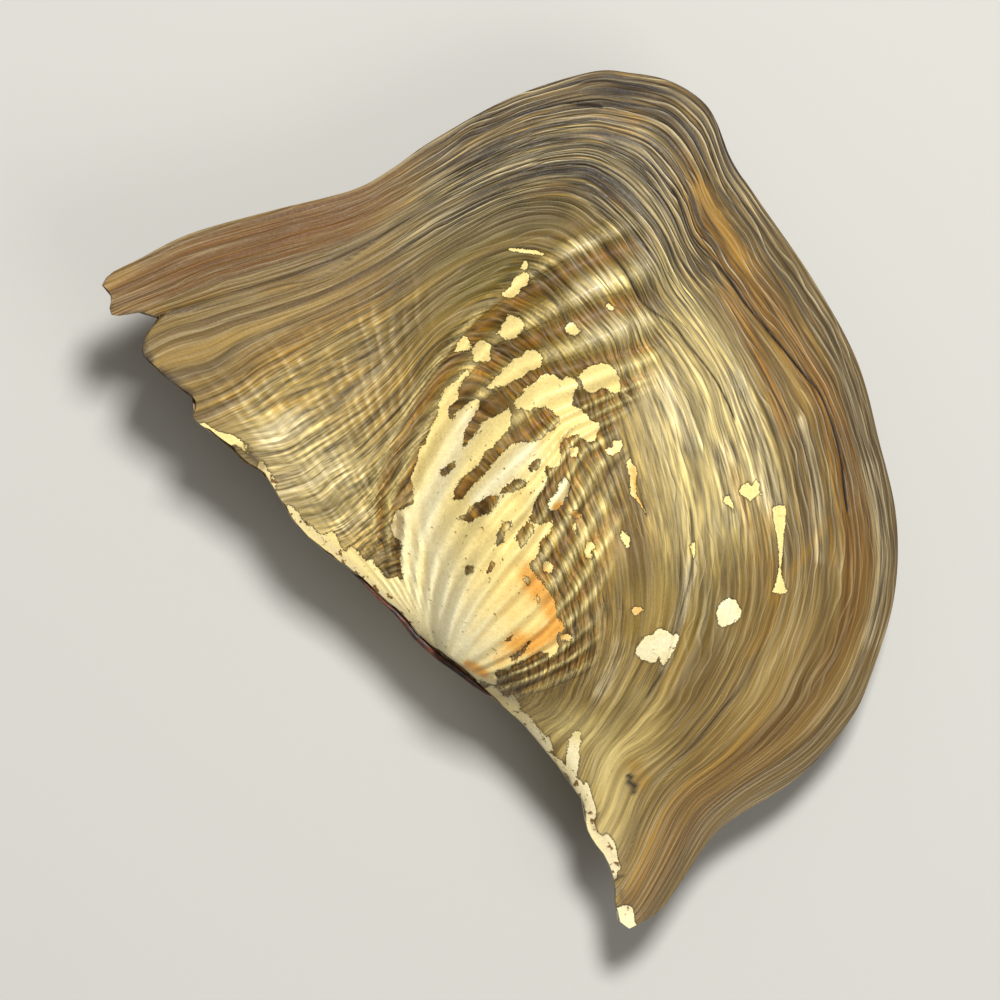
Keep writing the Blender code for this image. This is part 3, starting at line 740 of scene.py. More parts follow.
def growth_differences(pixels, stage):
    """On a coarse lattice over the photograph: how far the real stage is from the rule."""
    places, differences = [], []
    for real_stage, line in GROWTH_LINES:
        dense = dense_line(line, SAMPLE_PIXELS)
        by_rule = stage_at(pixels, stage, dense)
        places.append(dense)
        differences.append(real_stage - by_rule)
    edge = pixels[-1, ::3]
    places, differences = np.vstack(places + [edge]), np.concatenate(differences + [np.zeros(len(edge))])
    steps = np.arange(0, PHOTO_PIXELS + FIELD_PITCH, FIELD_PITCH)
    lattice = np.empty((len(steps), len(steps)))
    for number, down in enumerate(steps):
        here = np.stack([steps, np.full(len(steps), down)], axis=-1).astype(float)
        apart = ((here[:, None, :] - places[None, :, :]) ** 2).sum(axis=-1)
        weight = (apart + FIELD_REACH**2) ** -1.5
        lattice[number] = (weight * differences).sum(axis=1) / weight.sum(axis=1)
    for _ in range(SMOOTHINGS):
        for axis in (0, 1):
            spread = np.concatenate([lattice.take([0], axis), lattice, lattice.take([-1], axis)], axis)
            size = lattice.shape[axis]
            before, after = spread.take(range(size), axis), spread.take(range(2, size + 2), axis)
            lattice = (before + 2 * lattice + after) / 4
    return lattice


def read_lattice(lattice, pixels):
    """Values of the lattice at any pixels, blended between its points."""
    x = np.clip(pixels[..., 0] / FIELD_PITCH, 0, lattice.shape[1] - 1.001)
    y = np.clip(pixels[..., 1] / FIELD_PITCH, 0, lattice.shape[0] - 1.001)
    column, row = x.astype(int), y.astype(int)
    x, y = x - column, y - row
    top = lattice[row, column] * (1 - x) + lattice[row, column + 1] * x
    bottom = lattice[row + 1, column] * (1 - x) + lattice[row + 1, column + 1] * x
    return top * (1 - y) + bottom * y

# %% Deep ledges
LEDGE_REACH = 9.0
LEDGE_SAMPLE = 2
EVENED_OVER = 15


def deep_ledge(pixels, grown, line, drop):
    """Relief and shadow of one deep ledge: a raised lip, a sharp drop and a hollow beyond."""
    dense = dense_line(line, LEDGE_SAMPLE)
    grown_there = np.pad(stage_at(pixels, grown, dense), EVENED_OVER // 2, mode="edge")
    grown_there = np.convolve(grown_there, np.full(EVENED_OVER, 1 / EVENED_OVER), "valid")
    margin = 2 * LEDGE_REACH
    near = ((pixels > dense.min(axis=0) - margin) & (pixels < dense.max(axis=0) + margin)).all(axis=-1)
    apart = ((pixels[near][:, None] - dense[None]) ** 2).sum(axis=-1)
    beyond = grown[near] - grown_there[apart.argmin(axis=1)]
    fade = drop * np.exp(-((apart.min(axis=1) / LEDGE_REACH**2) ** 2))
    relief, dark = np.zeros(grown.shape), np.zeros(grown.shape)
    side = smooth_step(beyond, -0.16, 0.16)
    after, before = np.maximum(beyond, 0), np.minimum(beyond, 0)
    relief[near] = fade * (0.25 * np.exp(before / 0.7) * (1 - side) - 0.75 * np.exp(-after / 1.3) * side)
    dark[near] = fade * side * np.exp(-after / 0.3) / 0.22
    return relief, dark

# %% [markdown]
# Colours of the skin, as soft strokes
#
# The skin isn't one colour. It is tan over the middle, olive where it is
# thin, amber in a broad band inside the edge and purple grey at the edge.
# Each tint is a mask from 0 to 1, made of a band of growth, a range of
# directions or a few soft strokes. The material mixes its colours by them.
# Some masks also paint light: shade where slopes face away from the light
# and in cracks, sheen and highlights on crests and slopes that face it.

# %% Masks of the tints
def stroke(pixels, line, width):
    """A soft stroke along a line of pixels: 1 on the line, fading over this many pixels."""
    return np.exp(-((distance_to_line(pixels, line) / width) ** 2))


def between(value, low_start, low_end, high_start, high_end):
    """1 between the two ranges, with soft ends."""
    return smooth_step(value, low_start, low_end) * (1 - smooth_step(value, high_start, high_end))


def tint_masks(pixels, direction, stage):
    """Where each tint of skin and bare shell lies, and where shade, sheen and highlights are painted."""
    wing = 1 - smooth_step(direction, 24, 38)
    ridge = between(direction, 26, 38, 60, 72)
    disc = between(direction, 55, 68, 118, 150)
    front = smooth_step(direction, 118, 150)
    masks = {
        # Painted shade where wing, ridge and rim slope away from the light. Some strokes are a darker tone.
        "umber_tone_and_shade": 0.9 * wing * smooth_step(stage, 0.78, 0.86)
        - 0.3 * stroke(pixels, [(106, 288), (116, 278), (138, 266)], 7)
        + 0.9 * stroke(pixels, [(520, 222), (555, 210)], 13)
        - 0.5 * stroke(pixels, [(700, 185), (722, 225), (745, 262)], 9)
        + 0.45 * wing * between(stage, 0.6, 0.7, 0.78, 0.86)
        + 0.1 * ridge * between(stage, 0.5, 0.64, 0.84, 0.9)
        + 0.5 * ridge * smooth_step(stage, 0.93, 0.97)
        + 0.5 * smooth_step(stage, 0.84, 0.9) * smooth_step(direction, 60, 80)
        + 0.4 * between(direction, 20, 34, 52, 62) * between(stage, 0.35, 0.5, 0.8, 0.85)
        + 0.35 * stroke(pixels, [(450, 230), (500, 215)], 24)
        + 0.25 * between(stage, 0.62, 0.75, 1.4, 1.5) * smooth_step(direction, 84, 120)
        + 0.5 * stroke(pixels, [(395, 470), (410, 520), (390, 560)], 12)
        + 0.5 * stroke(pixels, [(640, 560), (600, 600), (560, 680)], 26),
        "amber": 0.6 * between(stage, 0.868, 0.882, 0.93, 0.95) * between(direction, 60, 66, 112, 140)
        + 0.95 * between(stage, 0.855, 0.875, 0.975, 0.99) * wing
        + 0.7 * stroke(pixels, [(165, 268), (210, 250), (290, 240)], 7)
        + 0.8 * stroke(pixels, [(262, 236), (312, 216), (330, 212)], 8)
        + 0.8 * stroke(pixels, [(725, 290), (750, 330), (775, 395), (785, 430)], 7)
        + 0.7 * stroke(pixels, [(600, 135), (640, 118)], 6)
        + 0.6 * stroke(pixels, [(590, 172), (620, 205)], 5)
        + 0.5 * stroke(pixels, [(545, 190), (568, 184)], 5)
        + 0.4 * between(stage, 0.8, 0.86, 0.93, 0.96) * front,
        "gold": stroke(pixels, [(106, 288), (114, 278), (132, 268)], 6)
        + 0.8 * stroke(pixels, [(530, 196), (560, 189)], 6)
        + 0.7 * stroke(pixels, [(576, 147), (598, 140)], 6)
        + 0.8 * stroke(pixels, [(610, 134), (632, 131)], 5)
        + 0.6 * stroke(pixels, [(600, 116), (636, 111)], 6)
        + 0.5 * stroke(pixels, [(475, 330), (500, 300)], 12)
        + stroke(pixels, [(115, 312), (135, 306), (150, 309), (168, 311)], 4)
        + 0.8 * stroke(pixels, [(185, 303), (205, 296), (230, 290)], 4)
        + 0.6 * stroke(pixels, [(262, 289), (310, 277)], 4)
        + 0.6 * stroke(pixels, [(250, 360), (320, 325), (375, 295)], 16)
        + 0.5 * stroke(pixels, [(230, 395), (300, 350)], 10)
        + 0.6 * stroke(pixels, [(270, 405), (300, 400)], 7)
        + 0.75 * stroke(pixels, [(697, 180), (722, 225), (750, 275)], 8)
        + 0.4 * stroke(pixels, [(760, 300), (800, 380), (815, 430)], 7)
        + 0.8 * stroke(pixels, [(733, 470), (742, 500), (750, 525)], 7)
        + 0.7 * stroke(pixels, [(776, 600), (768, 625), (752, 652)], 6)
        + 0.5 * stroke(pixels, [(650, 840), (635, 885)], 8)
        + 0.4 * stroke(pixels, [(660, 810), (650, 840)], 5)
        + 0.8 * stroke(pixels, [(635, 765), (645, 785)], 8)
        + 0.6 * stroke(pixels, [(762, 505), (765, 530), (755, 560)], 6)
        + 0.7 * stroke(pixels, [(770, 560), (772, 600), (830, 520), (835, 560)], 5),
        "olive": 0.45 * ridge * between(stage, 0.4, 0.55, 0.86, 0.92)
        + 1.4 * stroke(pixels, [(520, 220), (555, 210)], 12)
        + 0.7 * stroke(pixels, [(470, 290), (515, 262)], 14)
        + 0.5 * stroke(pixels, [(450, 250), (500, 225)], 16)
        + 0.4 * stroke(pixels, [(270, 370), (380, 330)], 30)
        + 0.5 * stroke(pixels, [(620, 590), (660, 580), (640, 620)], 26)
        + 0.4 * stroke(pixels, [(700, 620), (720, 560)], 24),
        "rim": between(stage, 0.945, 0.955, 1.5, 2) * smooth_step(direction, 34, 60)
        + 0.5 * between(stage, 0.79, 0.81, 0.86, 0.88) * disc
        + 0.7 * ridge * between(stage, 0.64, 0.76, 1.4, 1.5)
        + 0.6 * stroke(pixels, [(640, 820), (625, 860), (622, 890)], 6),
        # Paler skin over the disc, and painted highlights on fold crests and on slopes that face the light.
        "pale_and_highlight": 0.9 * between(stage, 0.52, 0.62, 0.78, 0.82) * between(direction, 60, 72, 96, 112)
        + 0.9 * stroke(pixels, [(285, 440), (350, 480), (320, 510)], 46)
        + 0.8 * stroke(pixels, [(585, 285), (660, 265)], 14)
        + 0.8 * stroke(pixels, [(580, 345), (640, 330)], 16)
        + 0.5 * stroke(pixels, [(600, 460), (590, 560), (560, 620)], 22)
        + 0.7 * stroke(pixels, [(690, 300), (720, 350), (740, 400)], 12)
        + 0.9 * stroke(pixels, [(560, 720), (600, 740), (612, 800), (606, 840)], 26)
        + 0.5 * stroke(pixels, [(640, 700), (650, 760)], 26),
        # Painted sheen: silvery highlights on the ridge, the fold crests and the slopes. The skin is also
        # glossier here.
        "sheen_and_gloss": 0.3 * ridge * between(stage, 0.7, 0.78, 0.9, 0.94)
        + 0.9 * stroke(pixels, [(575, 250), (590, 243)], 9)
        + stroke(pixels, [(582, 290), (606, 279)], 10)
        + 0.7 * stroke(pixels, [(640, 258), (648, 268)], 7)
        + 0.8 * stroke(pixels, [(590, 332), (640, 322)], 12)
        + 0.7 * stroke(pixels, [(665, 385), (690, 440)], 14)
        + 0.8 * stroke(pixels, [(735, 380), (755, 440), (770, 500)], 12)
        + 0.8 * stroke(pixels, [(725, 450), (735, 520)], 10)
        + 0.9 * stroke(pixels, [(800, 420), (815, 480), (820, 560)], 4)
        + 0.6 * stroke(pixels, [(868, 470), (885, 560), (872, 640)], 8)
        + 0.7 * stroke(pixels, [(692, 560), (680, 620), (664, 668)], 5)
        + 0.8 * stroke(pixels, [(270, 440), (295, 425)], 14)
        + 0.5 * stroke(pixels, [(345, 525), (365, 515)], 10)
        + 0.5 * stroke(pixels, [(600, 690), (620, 650)], 12)
        + 0.5 * stroke(pixels, [(280, 490), (330, 470)], 22),
        # Painted shade in cracks, pits and broken edges, and painted shadow under the broken tip of the back
        # wing.
        "crack_shade": stroke(pixels, [(150, 325), (144, 334), (144, 350), (150, 362)], 3.5)
        + stroke(pixels, [(158, 371), (172, 383), (190, 396)], 3.5)
        + 0.8 * stroke(pixels, [(111, 308), (122, 314), (142, 313), (152, 318)], 2.5)
        + 0.9 * stroke(pixels, [(238, 449), (248, 456), (262, 467)], 4)
        + 0.8 * stroke(pixels, [(366, 559), (376, 549), (381, 540)], 1.6)
        + 0.7 * stroke(pixels, [(345, 551), (356, 541), (360, 536)], 1.4)
        + 2.2 * stroke(pixels, [(629, 777), (632, 785), (635, 790)], 3)
        + 0.8 * stroke(pixels, [(599, 812), (594, 824), (595, 829)], 1.4)
        + 0.7 * stroke(pixels, [(615, 878), (623, 876)], 2)
        + 3.0 * stroke(pixels, [(578, 104), (602, 106)], 2.4)
        + 0.6 * stroke(pixels, [(555, 517), (566, 506), (571, 478), (588, 449)], 3)
        + 0.6 * stroke(pixels, [(570, 520), (585, 503), (600, 487), (612, 467), (627, 453)], 3)
        + 0.7 * stroke(pixels, [(640, 480), (643, 500)], 3)
        + 0.5 * stroke(pixels, [(383, 538), (400, 520), (398, 545)], 6)
        + 0.7 * stroke(pixels, [(500, 676), (520, 668), (545, 657)], 2.5)
        + 0.7 * stroke(pixels, [(500, 684), (520, 679), (538, 671), (555, 661)], 2)
        + 0.6 * stroke(pixels, [(516, 690), (530, 685), (548, 677), (562, 669)], 2)
        + 0.5 * stroke(pixels, [(620, 890), (622, 900)], 3),
        "worn": stroke(pixels, [(262, 468), (290, 512), (330, 548), (372, 586), (425, 634)], 7)
        + stroke(pixels, [(503, 690), (560, 756), (600, 830), (618, 870)], 8)
        + stroke(pixels, [(615, 880), (630, 905)], 10)
        + 0.8 * stroke(pixels, [(395, 520), (400, 470)], 5),
        "stain": stroke(pixels, [(532, 575), (548, 600), (560, 628), (530, 645)], 12)
        + 0.2 * stroke(pixels, [(500, 620), (540, 560), (560, 440)], 26)
        + stroke(pixels, [(468, 664), (484, 674)], 5)
        + 0.7 * stroke(pixels, [(632, 470), (642, 505)], 6)
        + stroke(pixels, [(556, 507), (560, 505)], 4)
        + 0.8 * stroke(pixels, [(570, 514), (580, 514)], 5)
        + 0.6 * stroke(pixels, [(630, 612), (643, 609)], 7)
        + 0.5 * stroke(pixels, [(517, 640), (500, 660)], 10),
        "pearl": stroke(pixels, [(415, 545), (440, 600), (462, 640)], 36)
        + stroke(pixels, [(645, 650), (670, 640)], 22)
        + stroke(pixels, [(725, 605), (732, 620)], 20)
        + stroke(pixels, [(420, 520), (470, 420)], 12)
        + stroke(pixels, [(480, 500), (530, 450)], 12)
        + stroke(pixels, [(545, 500), (565, 482)], 10)
        + 0.9 * stroke(pixels, [(530, 735), (570, 750), (590, 800), (612, 860), (625, 920)], 16),
    }
    return {name: np.clip(mask, 0, 1) for name, mask in masks.items()}

# %% [markdown]
# Putting a valve's surface together
#
# The smooth form comes first. From it each point learns its pixel, its
# direction and its stage, and these give the relief and the masks. The lower
# valve isn't in the photograph, so it takes the same marks with its own
# chance bends, as the two halves of one animal do.

# %% Surface and marks of one valve
CHANCE = {"left_valve": 11, "right_valve": 47}
BEAK_PIXEL = (455, 668)
TRACED_ALONG = (-0.6328, -0.7743)
TRACED_OUT = (0.7743, -0.6328)
CALM_PATCHES = [
    ([(700, 190), (722, 225), (740, 255)], 7), ([(628, 560), (655, 600), (650, 625)], 24),
    ([(775, 345), (800, 400)], 6), ([(300, 236), (330, 222)], 8),
]
left_rows = np.array([growth_surface(growing_edge, stage, TOP_EDGES["left_valve"]) for stage in stage_rows])
left_pixels = photo_pixels(to_world(left_rows))
growth_lattice = growth_differences(left_pixels, growth_stage(left_rows)[0])


def valve_surface(name):
    """The outside of a valve as a grid of points, with what its material needs to know."""
    seed = CHANCE[name]
    rows = np.array([growth_surface(growing_edge, stage, TOP_EDGES[name]) for stage in stage_rows])
    pixels = photo_pixels(to_world(rows))
    if name == "right_valve":
        across, down = pixels[..., 0] / 55, pixels[..., 1] / 55
        bend = np.stack([patchy(across, down, seed), patchy(across, down, seed + 1)], axis=-1)
        pixels = pixels + 16 * bend
    stage, direction = growth_stage(rows)
    stage = stage + read_lattice(growth_lattice, pixels)
    share = np.repeat(edge_shares[None, :], len(stage_rows), axis=0)
    grown = stage * FULL_REACH

    from_beak = (pixels - BEAK_PIXEL) * MM_PER_PIXEL
    traced_along, traced_out = (from_beak @ TRACED_ALONG).ravel(), (from_beak @ TRACED_OUT).ravel()
    folds, fold_heights = fold_relief(traced_along, traced_out, seed + 9)
    folds, fold_heights = folds.reshape(stage.shape), fold_heights.reshape(stage.shape)
    riblets, ribbed = riblet_relief(direction, stage, seed + 8)

    bend = 0.3 * patchy(share * 10, stage * 8, seed + 2) + 0.08 * patchy(share * 40, stage * 20, seed + 3)
    ridge = between(direction, 28, 42, 64, 78) * smooth_step(stage, 0.68, 0.78)
    disc = between(direction, 60, 70, 100, 125)
    folded = smooth_step(np.abs(folds), 0.0, 0.3)
    lines = 1 - np.clip(sum(stroke(pixels, line, width) for line, width in CALM_PATCHES), 0, 0.7)
    coarse = 0.6 + 0.5 * patchy(share * 12, stage * 9, seed + 4)
    coarse = coarse * smooth_step(stage, 0.42, 0.68) * (0.45 + 0.35 * disc + 1.1 * ridge)
    coarse = coarse * (1 - 0.7 * folded)
    fine = 0.6 + 0.5 * patchy(share * 22, stage * 20, seed + 5)
    fine = fine * smooth_step(stage, 0.25, 0.55) * (0.6 + 0.5 * disc + 0.6 * ridge)
    big_rise, big_shadow = growth_steps(seed + 6, (1.1, 2.6), (0.12, 0.34))
    small_rise, small_shadow = growth_steps(seed + 7, (0.45, 0.9), (0.05, 0.11))
    place = grown + bend
    relief = coarse * np.interp(place, STEP_TABLE, big_rise)
    relief = relief + fine * np.interp(place, STEP_TABLE, small_rise)
    shadow = coarse * np.interp(place, STEP_TABLE, big_shadow)
    shadow = shadow + 0.5 * fine * np.interp(place, STEP_TABLE, small_shadow)
    for line, drop in DEEP_LEDGES:
        low, dark = deep_ledge(pixels, grown, line, drop)
        relief = relief + low
        shadow = shadow + dark

    rows[..., 2] += FOLD_HEIGHT[name] * fold_heights + RIBLET_HEIGHT * riblets + relief
    rows[..., 2] = np.maximum(rows[..., 2], THINNEST_RIM)
    marks = {
        "grown": grown,
        "around": share * 180,
        "direction": direction,
        "bare": bare_depth(pixels),
        "fold": folds,
        "ribbed": ribbed,
        "shadow": np.clip(shadow, 0, 1.5),
        # Where the painted shadow lines, the painted light and shade of the lips, and the purple streaks show.
        "lamella_shading_and_tint": lines * np.clip(0.25 + 0.75 * ridge + 0.3 * disc * smooth_step(stage, 0.5, 0.7), 0, 1),
        "lined": lines * np.clip(0.18 + 0.8 * ridge + 0.5 * disc + 0.8 * ribbed + 0.9 * folded, 0, 1),
        **tint_masks(pixels, direction, stage),
    }
    return rows, marks


surfaces = {name: valve_surface(name) for name in ("left_valve", "right_valve")}
for name, (rows, marks) in surfaces.items():
    print(name, "rises to", rows[..., 2].max().round(2), "mm, bare:", (marks["bare"] > 0).mean().round(3))

# %% [markdown]
# Closing each valve
#
# A valve is a bowl, not a lid: it has a rim, a flat seam and a hollow with a
# lining of mother-of-pearl. The grid gets walls down to the seam, a coarser
# grid makes the roof of the hollow, and one flat ring joins the two.

# %% The hollow under a valve
WALL = 1.7
HOLLOW_STAGES = (0.20, 0.27, 0.34, 0.42, 0.50, 0.58, 0.66, 0.74, 0.81, 0.87, 0.93, 0.975)
HOLLOW_COLUMNS = 34
HOLLOW_INSET = 0.02


def hollow_rows(top_edge):
    """Rows of points over the roof of the hollow, one wall thickness inside the outside."""
    edge = smooth_line(GROWING_EDGE, np.linspace(HOLLOW_INSET, 1 - HOLLOW_INSET, HOLLOW_COLUMNS))
    rows = np.array([growth_surface(edge, stage, top_edge) for stage in HOLLOW_STAGES])
    normals = np.cross(np.gradient(rows, axis=1), np.gradient(rows, axis=0))
    normals /= np.linalg.norm(normals, axis=2, keepdims=True)
    normals *= np.sign(normals[..., 2:])
    inner = rows - WALL * normals
    inner[..., 2] = np.maximum(inner[..., 2], SEAM_GAP)
    return inner


# %% Faces of a grid, and the loop of points round it
def grid_faces(row_count, column_count, first):
    """Four-sided faces of a grid whose points are numbered row by row from first."""
    numbers = first + np.arange(row_count * column_count).reshape(row_count, column_count)
    corners = [numbers[:-1, :-1], numbers[1:, :-1], numbers[1:, 1:], numbers[:-1, 1:]]
    return np.stack(corners, axis=-1).reshape(-1, 4)


def grid_border(row_count, column_count, first):
    """Numbers of the points round a grid, in order."""
    numbers = first + np.arange(row_count * column_count).reshape(row_count, column_count)
    sides = [numbers[0, :-1], numbers[:-1, -1], numbers[-1, :0:-1], numbers[:0:-1, 0]]
    return np.concatenate(sides)


def skirt_faces(border, lower):
    """Faces between a loop of points and the loop right below it."""
    next_border, next_lower = np.roll(border, -1), np.roll(lower, -1)
    return np.stack([border, next_border, next_lower, lower], axis=-1)


# %% A closed mesh with its faces turned outwards
def closed_mesh(name, world_points, faces):
    mesh = bpy.data.meshes.new(name)
    mesh.from_pydata(world_points.tolist(), [], faces)
    shape = bmesh.new()
    shape.from_mesh(mesh)
    bmesh.ops.recalc_face_normals(shape, faces=shape.faces)
    print(name, "open edges:", sum(not edge.is_manifold for edge in shape.edges))
    shape.to_mesh(mesh)
    shape.free()
    return mesh


# %% Build a valve
RIM_LEVELS = (0.5,)


def build_valve(name):
    """The closed mesh of a valve, its points, the grid point each takes its marks from, and face counts."""
    side = 1 if name == "left_valve" else -1
    rows, marks = surfaces[name]
    outer = rows.reshape(-1, 3)
    border = grid_border(*rows.shape[:2], 0)
    points, faces, sources = [outer], [grid_faces(*rows.shape[:2], 0)], [np.arange(len(outer))]
    count = len(outer)
    upper = border
    for share in (*RIM_LEVELS, 1.0):
        level = outer[border].copy()
        level[:, 2] = level[:, 2] * (1 - share) + SEAM_GAP * share
        lower = count + np.arange(len(border))
        points.append(level)
        sources.append(border)
        faces.append(skirt_faces(upper, lower))
        upper = lower
        count += len(border)
    seam_outer = upper

    hollow = hollow_rows(TOP_EDGES[name])
    inner = hollow.reshape(-1, 3)
    hollow_first = count
    points.append(inner)
    sources.append(np.full(len(inner), -1))
    count += len(inner)
    inner_faces = [grid_faces(*hollow.shape[:2], hollow_first)[:, ::-1]]
    hollow_border = grid_border(*hollow.shape[:2], hollow_first)
    raised = inner[hollow_border - hollow_first, 2] > SEAM_GAP + 0.02
    foot = hollow_border.copy()
    foot[raised] = count + np.arange(raised.sum())
    below = inner[hollow_border[raised] - hollow_first].copy()
    below[:, 2] = SEAM_GAP
    points.append(below)
    sources.append(np.full(len(below), -1))
    walls = [tuple(dict.fromkeys(face)) for face in skirt_faces(hollow_border, foot)[:, ::-1]]
    walls = [face for face in walls if len(face) > 2]

    points = np.vstack(points)
    loops = [[Vector((*points[number, :2], 0)) for number in loop] for loop in (seam_outer, foot)]
    numbers = np.concatenate([seam_outer, foot])
    ring = [tuple(int(numbers[corner]) for corner in face) for face in tessellate_polygon(loops)]

    all_faces = [tuple(face) for part in faces + inner_faces for face in part.tolist()]
    all_faces += walls + ring
    world_points = to_world(points, side)
    world_points[:, 2] = np.maximum(world_points[:, 2], 0)
    mesh = closed_mesh(name, world_points, all_faces)
    counts = (len(faces[0]), sum(len(part) for part in faces), len(all_faces) - len(ring))
    return mesh, points, np.concatenate(sources), counts


# %% [markdown]
# A flat map of each valve
#
# When a finish is baked to pictures, each bit of surface needs its own place
# on a flat map. The outside of a valve is nowhere folded over, so it maps
# straight down. Its rim lies beside it in four strips, and the hollow, which
# a closed shell hides, takes the small space that is left.

# %% Lay a valve out flat
MAP_MARGIN = 0.01
MAP_SCALE = (1 - 2 * MAP_MARGIN) / 92.0
PLAN_CORNER = (-34.4, -4.9)
RIM_STRIPS = 4
RIM_STRIP_PITCH = 0.012
RIM_BASE = 0.725
INNER_SCALE = 0.3
INNER_BASE = 0.785


def lay_flat(mesh, points, border, counts):
    """Fills the baking map: grid faces, then rim strips, then the inner faces."""
    grid_count, outside_count, _ = counts
    flat = (points[:, :2] - PLAN_CORNER) * MAP_SCALE
    run = np.zeros(len(points))
    steps = np.linalg.norm(np.diff(points[border, :2], axis=0, append=points[border[:1], :2]), axis=1)
    total = steps.sum()
    along_border = np.concatenate([[0], np.cumsum(steps)[:-1]])
    level = np.zeros(len(points))
    grid_points = len(surfaces["left_valve"][0].reshape(-1, 3))
    run[border] = along_border
    for number in range(len(RIM_LEVELS) + 1):
        start = grid_points + number * len(border)
        run[start:start + len(border)] = along_border
        level[start:start + len(border)] = number + 1
    corner = np.empty(len(mesh.loops), np.int32)
    mesh.loops.foreach_get("vertex_index", corner)
    first = np.empty(len(mesh.polygons), np.int32)
    size = np.empty(len(mesh.polygons), np.int32)
    mesh.polygons.foreach_get("loop_start", first)
    mesh.polygons.foreach_get("loop_total", size)
    face = np.repeat(np.arange(len(first)), size)
    places = flat[corner] + MAP_MARGIN
    inner = face >= outside_count
    places[inner] = flat[corner[inner]] * INNER_SCALE + (MAP_MARGIN, INNER_BASE)
    rim = (face >= grid_count) & ~inner
    around = run[corner[rim]].reshape(-1, 4)
    around = np.where(around.max(axis=1, keepdims=True) - around > total / 2, around + total, around)
    strip = np.floor(around.min(axis=1, keepdims=True) / (total / RIM_STRIPS))
    strip = np.minimum(strip, RIM_STRIPS - 1)
    across = MAP_MARGIN + (around - strip * total / RIM_STRIPS) * MAP_SCALE
    up = RIM_BASE + strip * RIM_STRIP_PITCH + level[corner[rim]].reshape(-1, 4) * 0.4 * MAP_SCALE
    places[rim] = np.stack([across.ravel(), up.ravel()], axis=-1)
    layer = mesh.uv_layers.new(name="OFBake")
    layer.data.foreach_set("uv", places.astype(np.float32).ravel())


# %% Give the valves their marks
def mark(mesh, rows, marks, points, sources):
    """Stores each mark on the points of the mesh. Growth goes on down the rim, by its depth."""
    top = np.append(rows[..., 2].ravel(), 0.0)
    for name, values in marks.items():
        stored = mesh.attributes.new(name, "FLOAT", "POINT")
        flat = np.append(values.reshape(-1), -5.0 if name == "bare" else 0.0)[sources]
        if name == "grown":
            flat = flat + top[sources] - points[:, 2]
        stored.data.foreach_set("value", flat.astype(np.float32))


valves = {}
for name in surfaces:
    mesh, points, sources, counts = build_valve(name)
    mark(mesh, *surfaces[name], points, sources)
    lay_flat(mesh, points, grid_border(len(stage_rows), COLUMNS, 0), counts)
    mesh.shade_smooth()
    mesh.set_sharp_from_angle(angle=math.radians(50))
    finish = np.zeros(len(mesh.polygons), np.int32)
    finish[counts[1]:] = 1
    finish[counts[2]:] = 2
    mesh.polygons.foreach_set("material_index", finish)
    valve = bpy.data.objects.new(name + "_grown", mesh)
    bpy.context.scene.collection.objects.link(valve)
    valves[name] = valve
    triangles = sum(len(face.vertices) - 2 for face in mesh.polygons)
    print(name, "triangles:", triangles)

# %% [markdown]
# The skin of the shell
#
# The outer skin of a mussel is periostracum: thin, horny and brown, laid down
# wet and then dried. It has a silky gloss, which its fine growth threads break
# up into streaks. Where it has flaked off, the chalky shell shows, cream and
# smoother. Both are one surface on the real valve, so one material holds both
# and the bare depth decides between them.

# %% Start the skin material
def new_material(name):
    """A material and the two things every step works on: its node tree and its shader."""
    made = bpy.data.materials.new(name)
    made.use_nodes = True
    return made, made.node_tree, made.node_tree.nodes["Principled BSDF"]


def read_marks(tree, names):
    """The outputs that give each named mark of the surface."""
    return {name: add(tree, "ShaderNodeAttribute", output="Fac", attribute_name=name) for name in names}


def mixed(tree, share, below, above, blend="MIX"):
    """Two colours mixed by a share, with any blending mode."""
    inputs = {0: share, 6: below, 7: above}
    return add(tree, "ShaderNodeMix", inputs, 2, data_type="RGBA", blend_type=blend)


def math_node(tree, operation, *values, clamp=False):
    """One step of arithmetic on outputs or numbers."""
    return add(tree, "ShaderNodeMath", dict(enumerate(values)), operation=operation, use_clamp=clamp)


def ranged(tree, value, start, end, low=0.0, high=1.0):
    """A value from one range brought to another, and held at its ends."""
    inputs = {"Value": value, "From Min": start, "From Max": end, "To Min": low, "To Max": high}
    return add(tree, "ShaderNodeMapRange", inputs)


skin, tree, shader = new_material("dried_periostracum_over_chalky_shell")
mark_names = ["grown", "around", "direction", "bare", "fold", "ribbed", "shadow", "lamella_shading_and_tint", "lined"]
mark_names += ["umber_tone_and_shade", "amber", "gold", "olive", "rim", "pale_and_highlight", "sheen_and_gloss", "crack_shade", "worn", "stain", "pearl"]
marks = read_marks(tree, mark_names)
place = add(tree, "ShaderNodeTexCoord", output="Object")
in_mm = add(tree, "ShaderNodeVectorMath", {0: place, 3: 1000.0}, operation="SCALE")

# %% Growth threads: fine noise, drawn out along the growth lines
slow_wobble = add(tree, "ShaderNodeTexNoise", {"Vector": in_mm, "Scale": 0.3, "Detail": 1.0})
quick_wobble = add(tree, "ShaderNodeTexNoise", {"Vector": in_mm, "Scale": 1.2, "Detail": 1.0})
SLOW_WOBBLE_MM = 0.1
QUICK_WOBBLE_MM = 0.05
grown = math_node(tree, "MULTIPLY_ADD", slow_wobble, SLOW_WOBBLE_MM, marks["grown"])
grown = math_node(tree, "MULTIPLY_ADD", quick_wobble, QUICK_WOBBLE_MM, grown)
HAIRS_PER_MM = 3.2
THREADS_PER_MM = 2.1
BANDS_PER_MM = 0.75


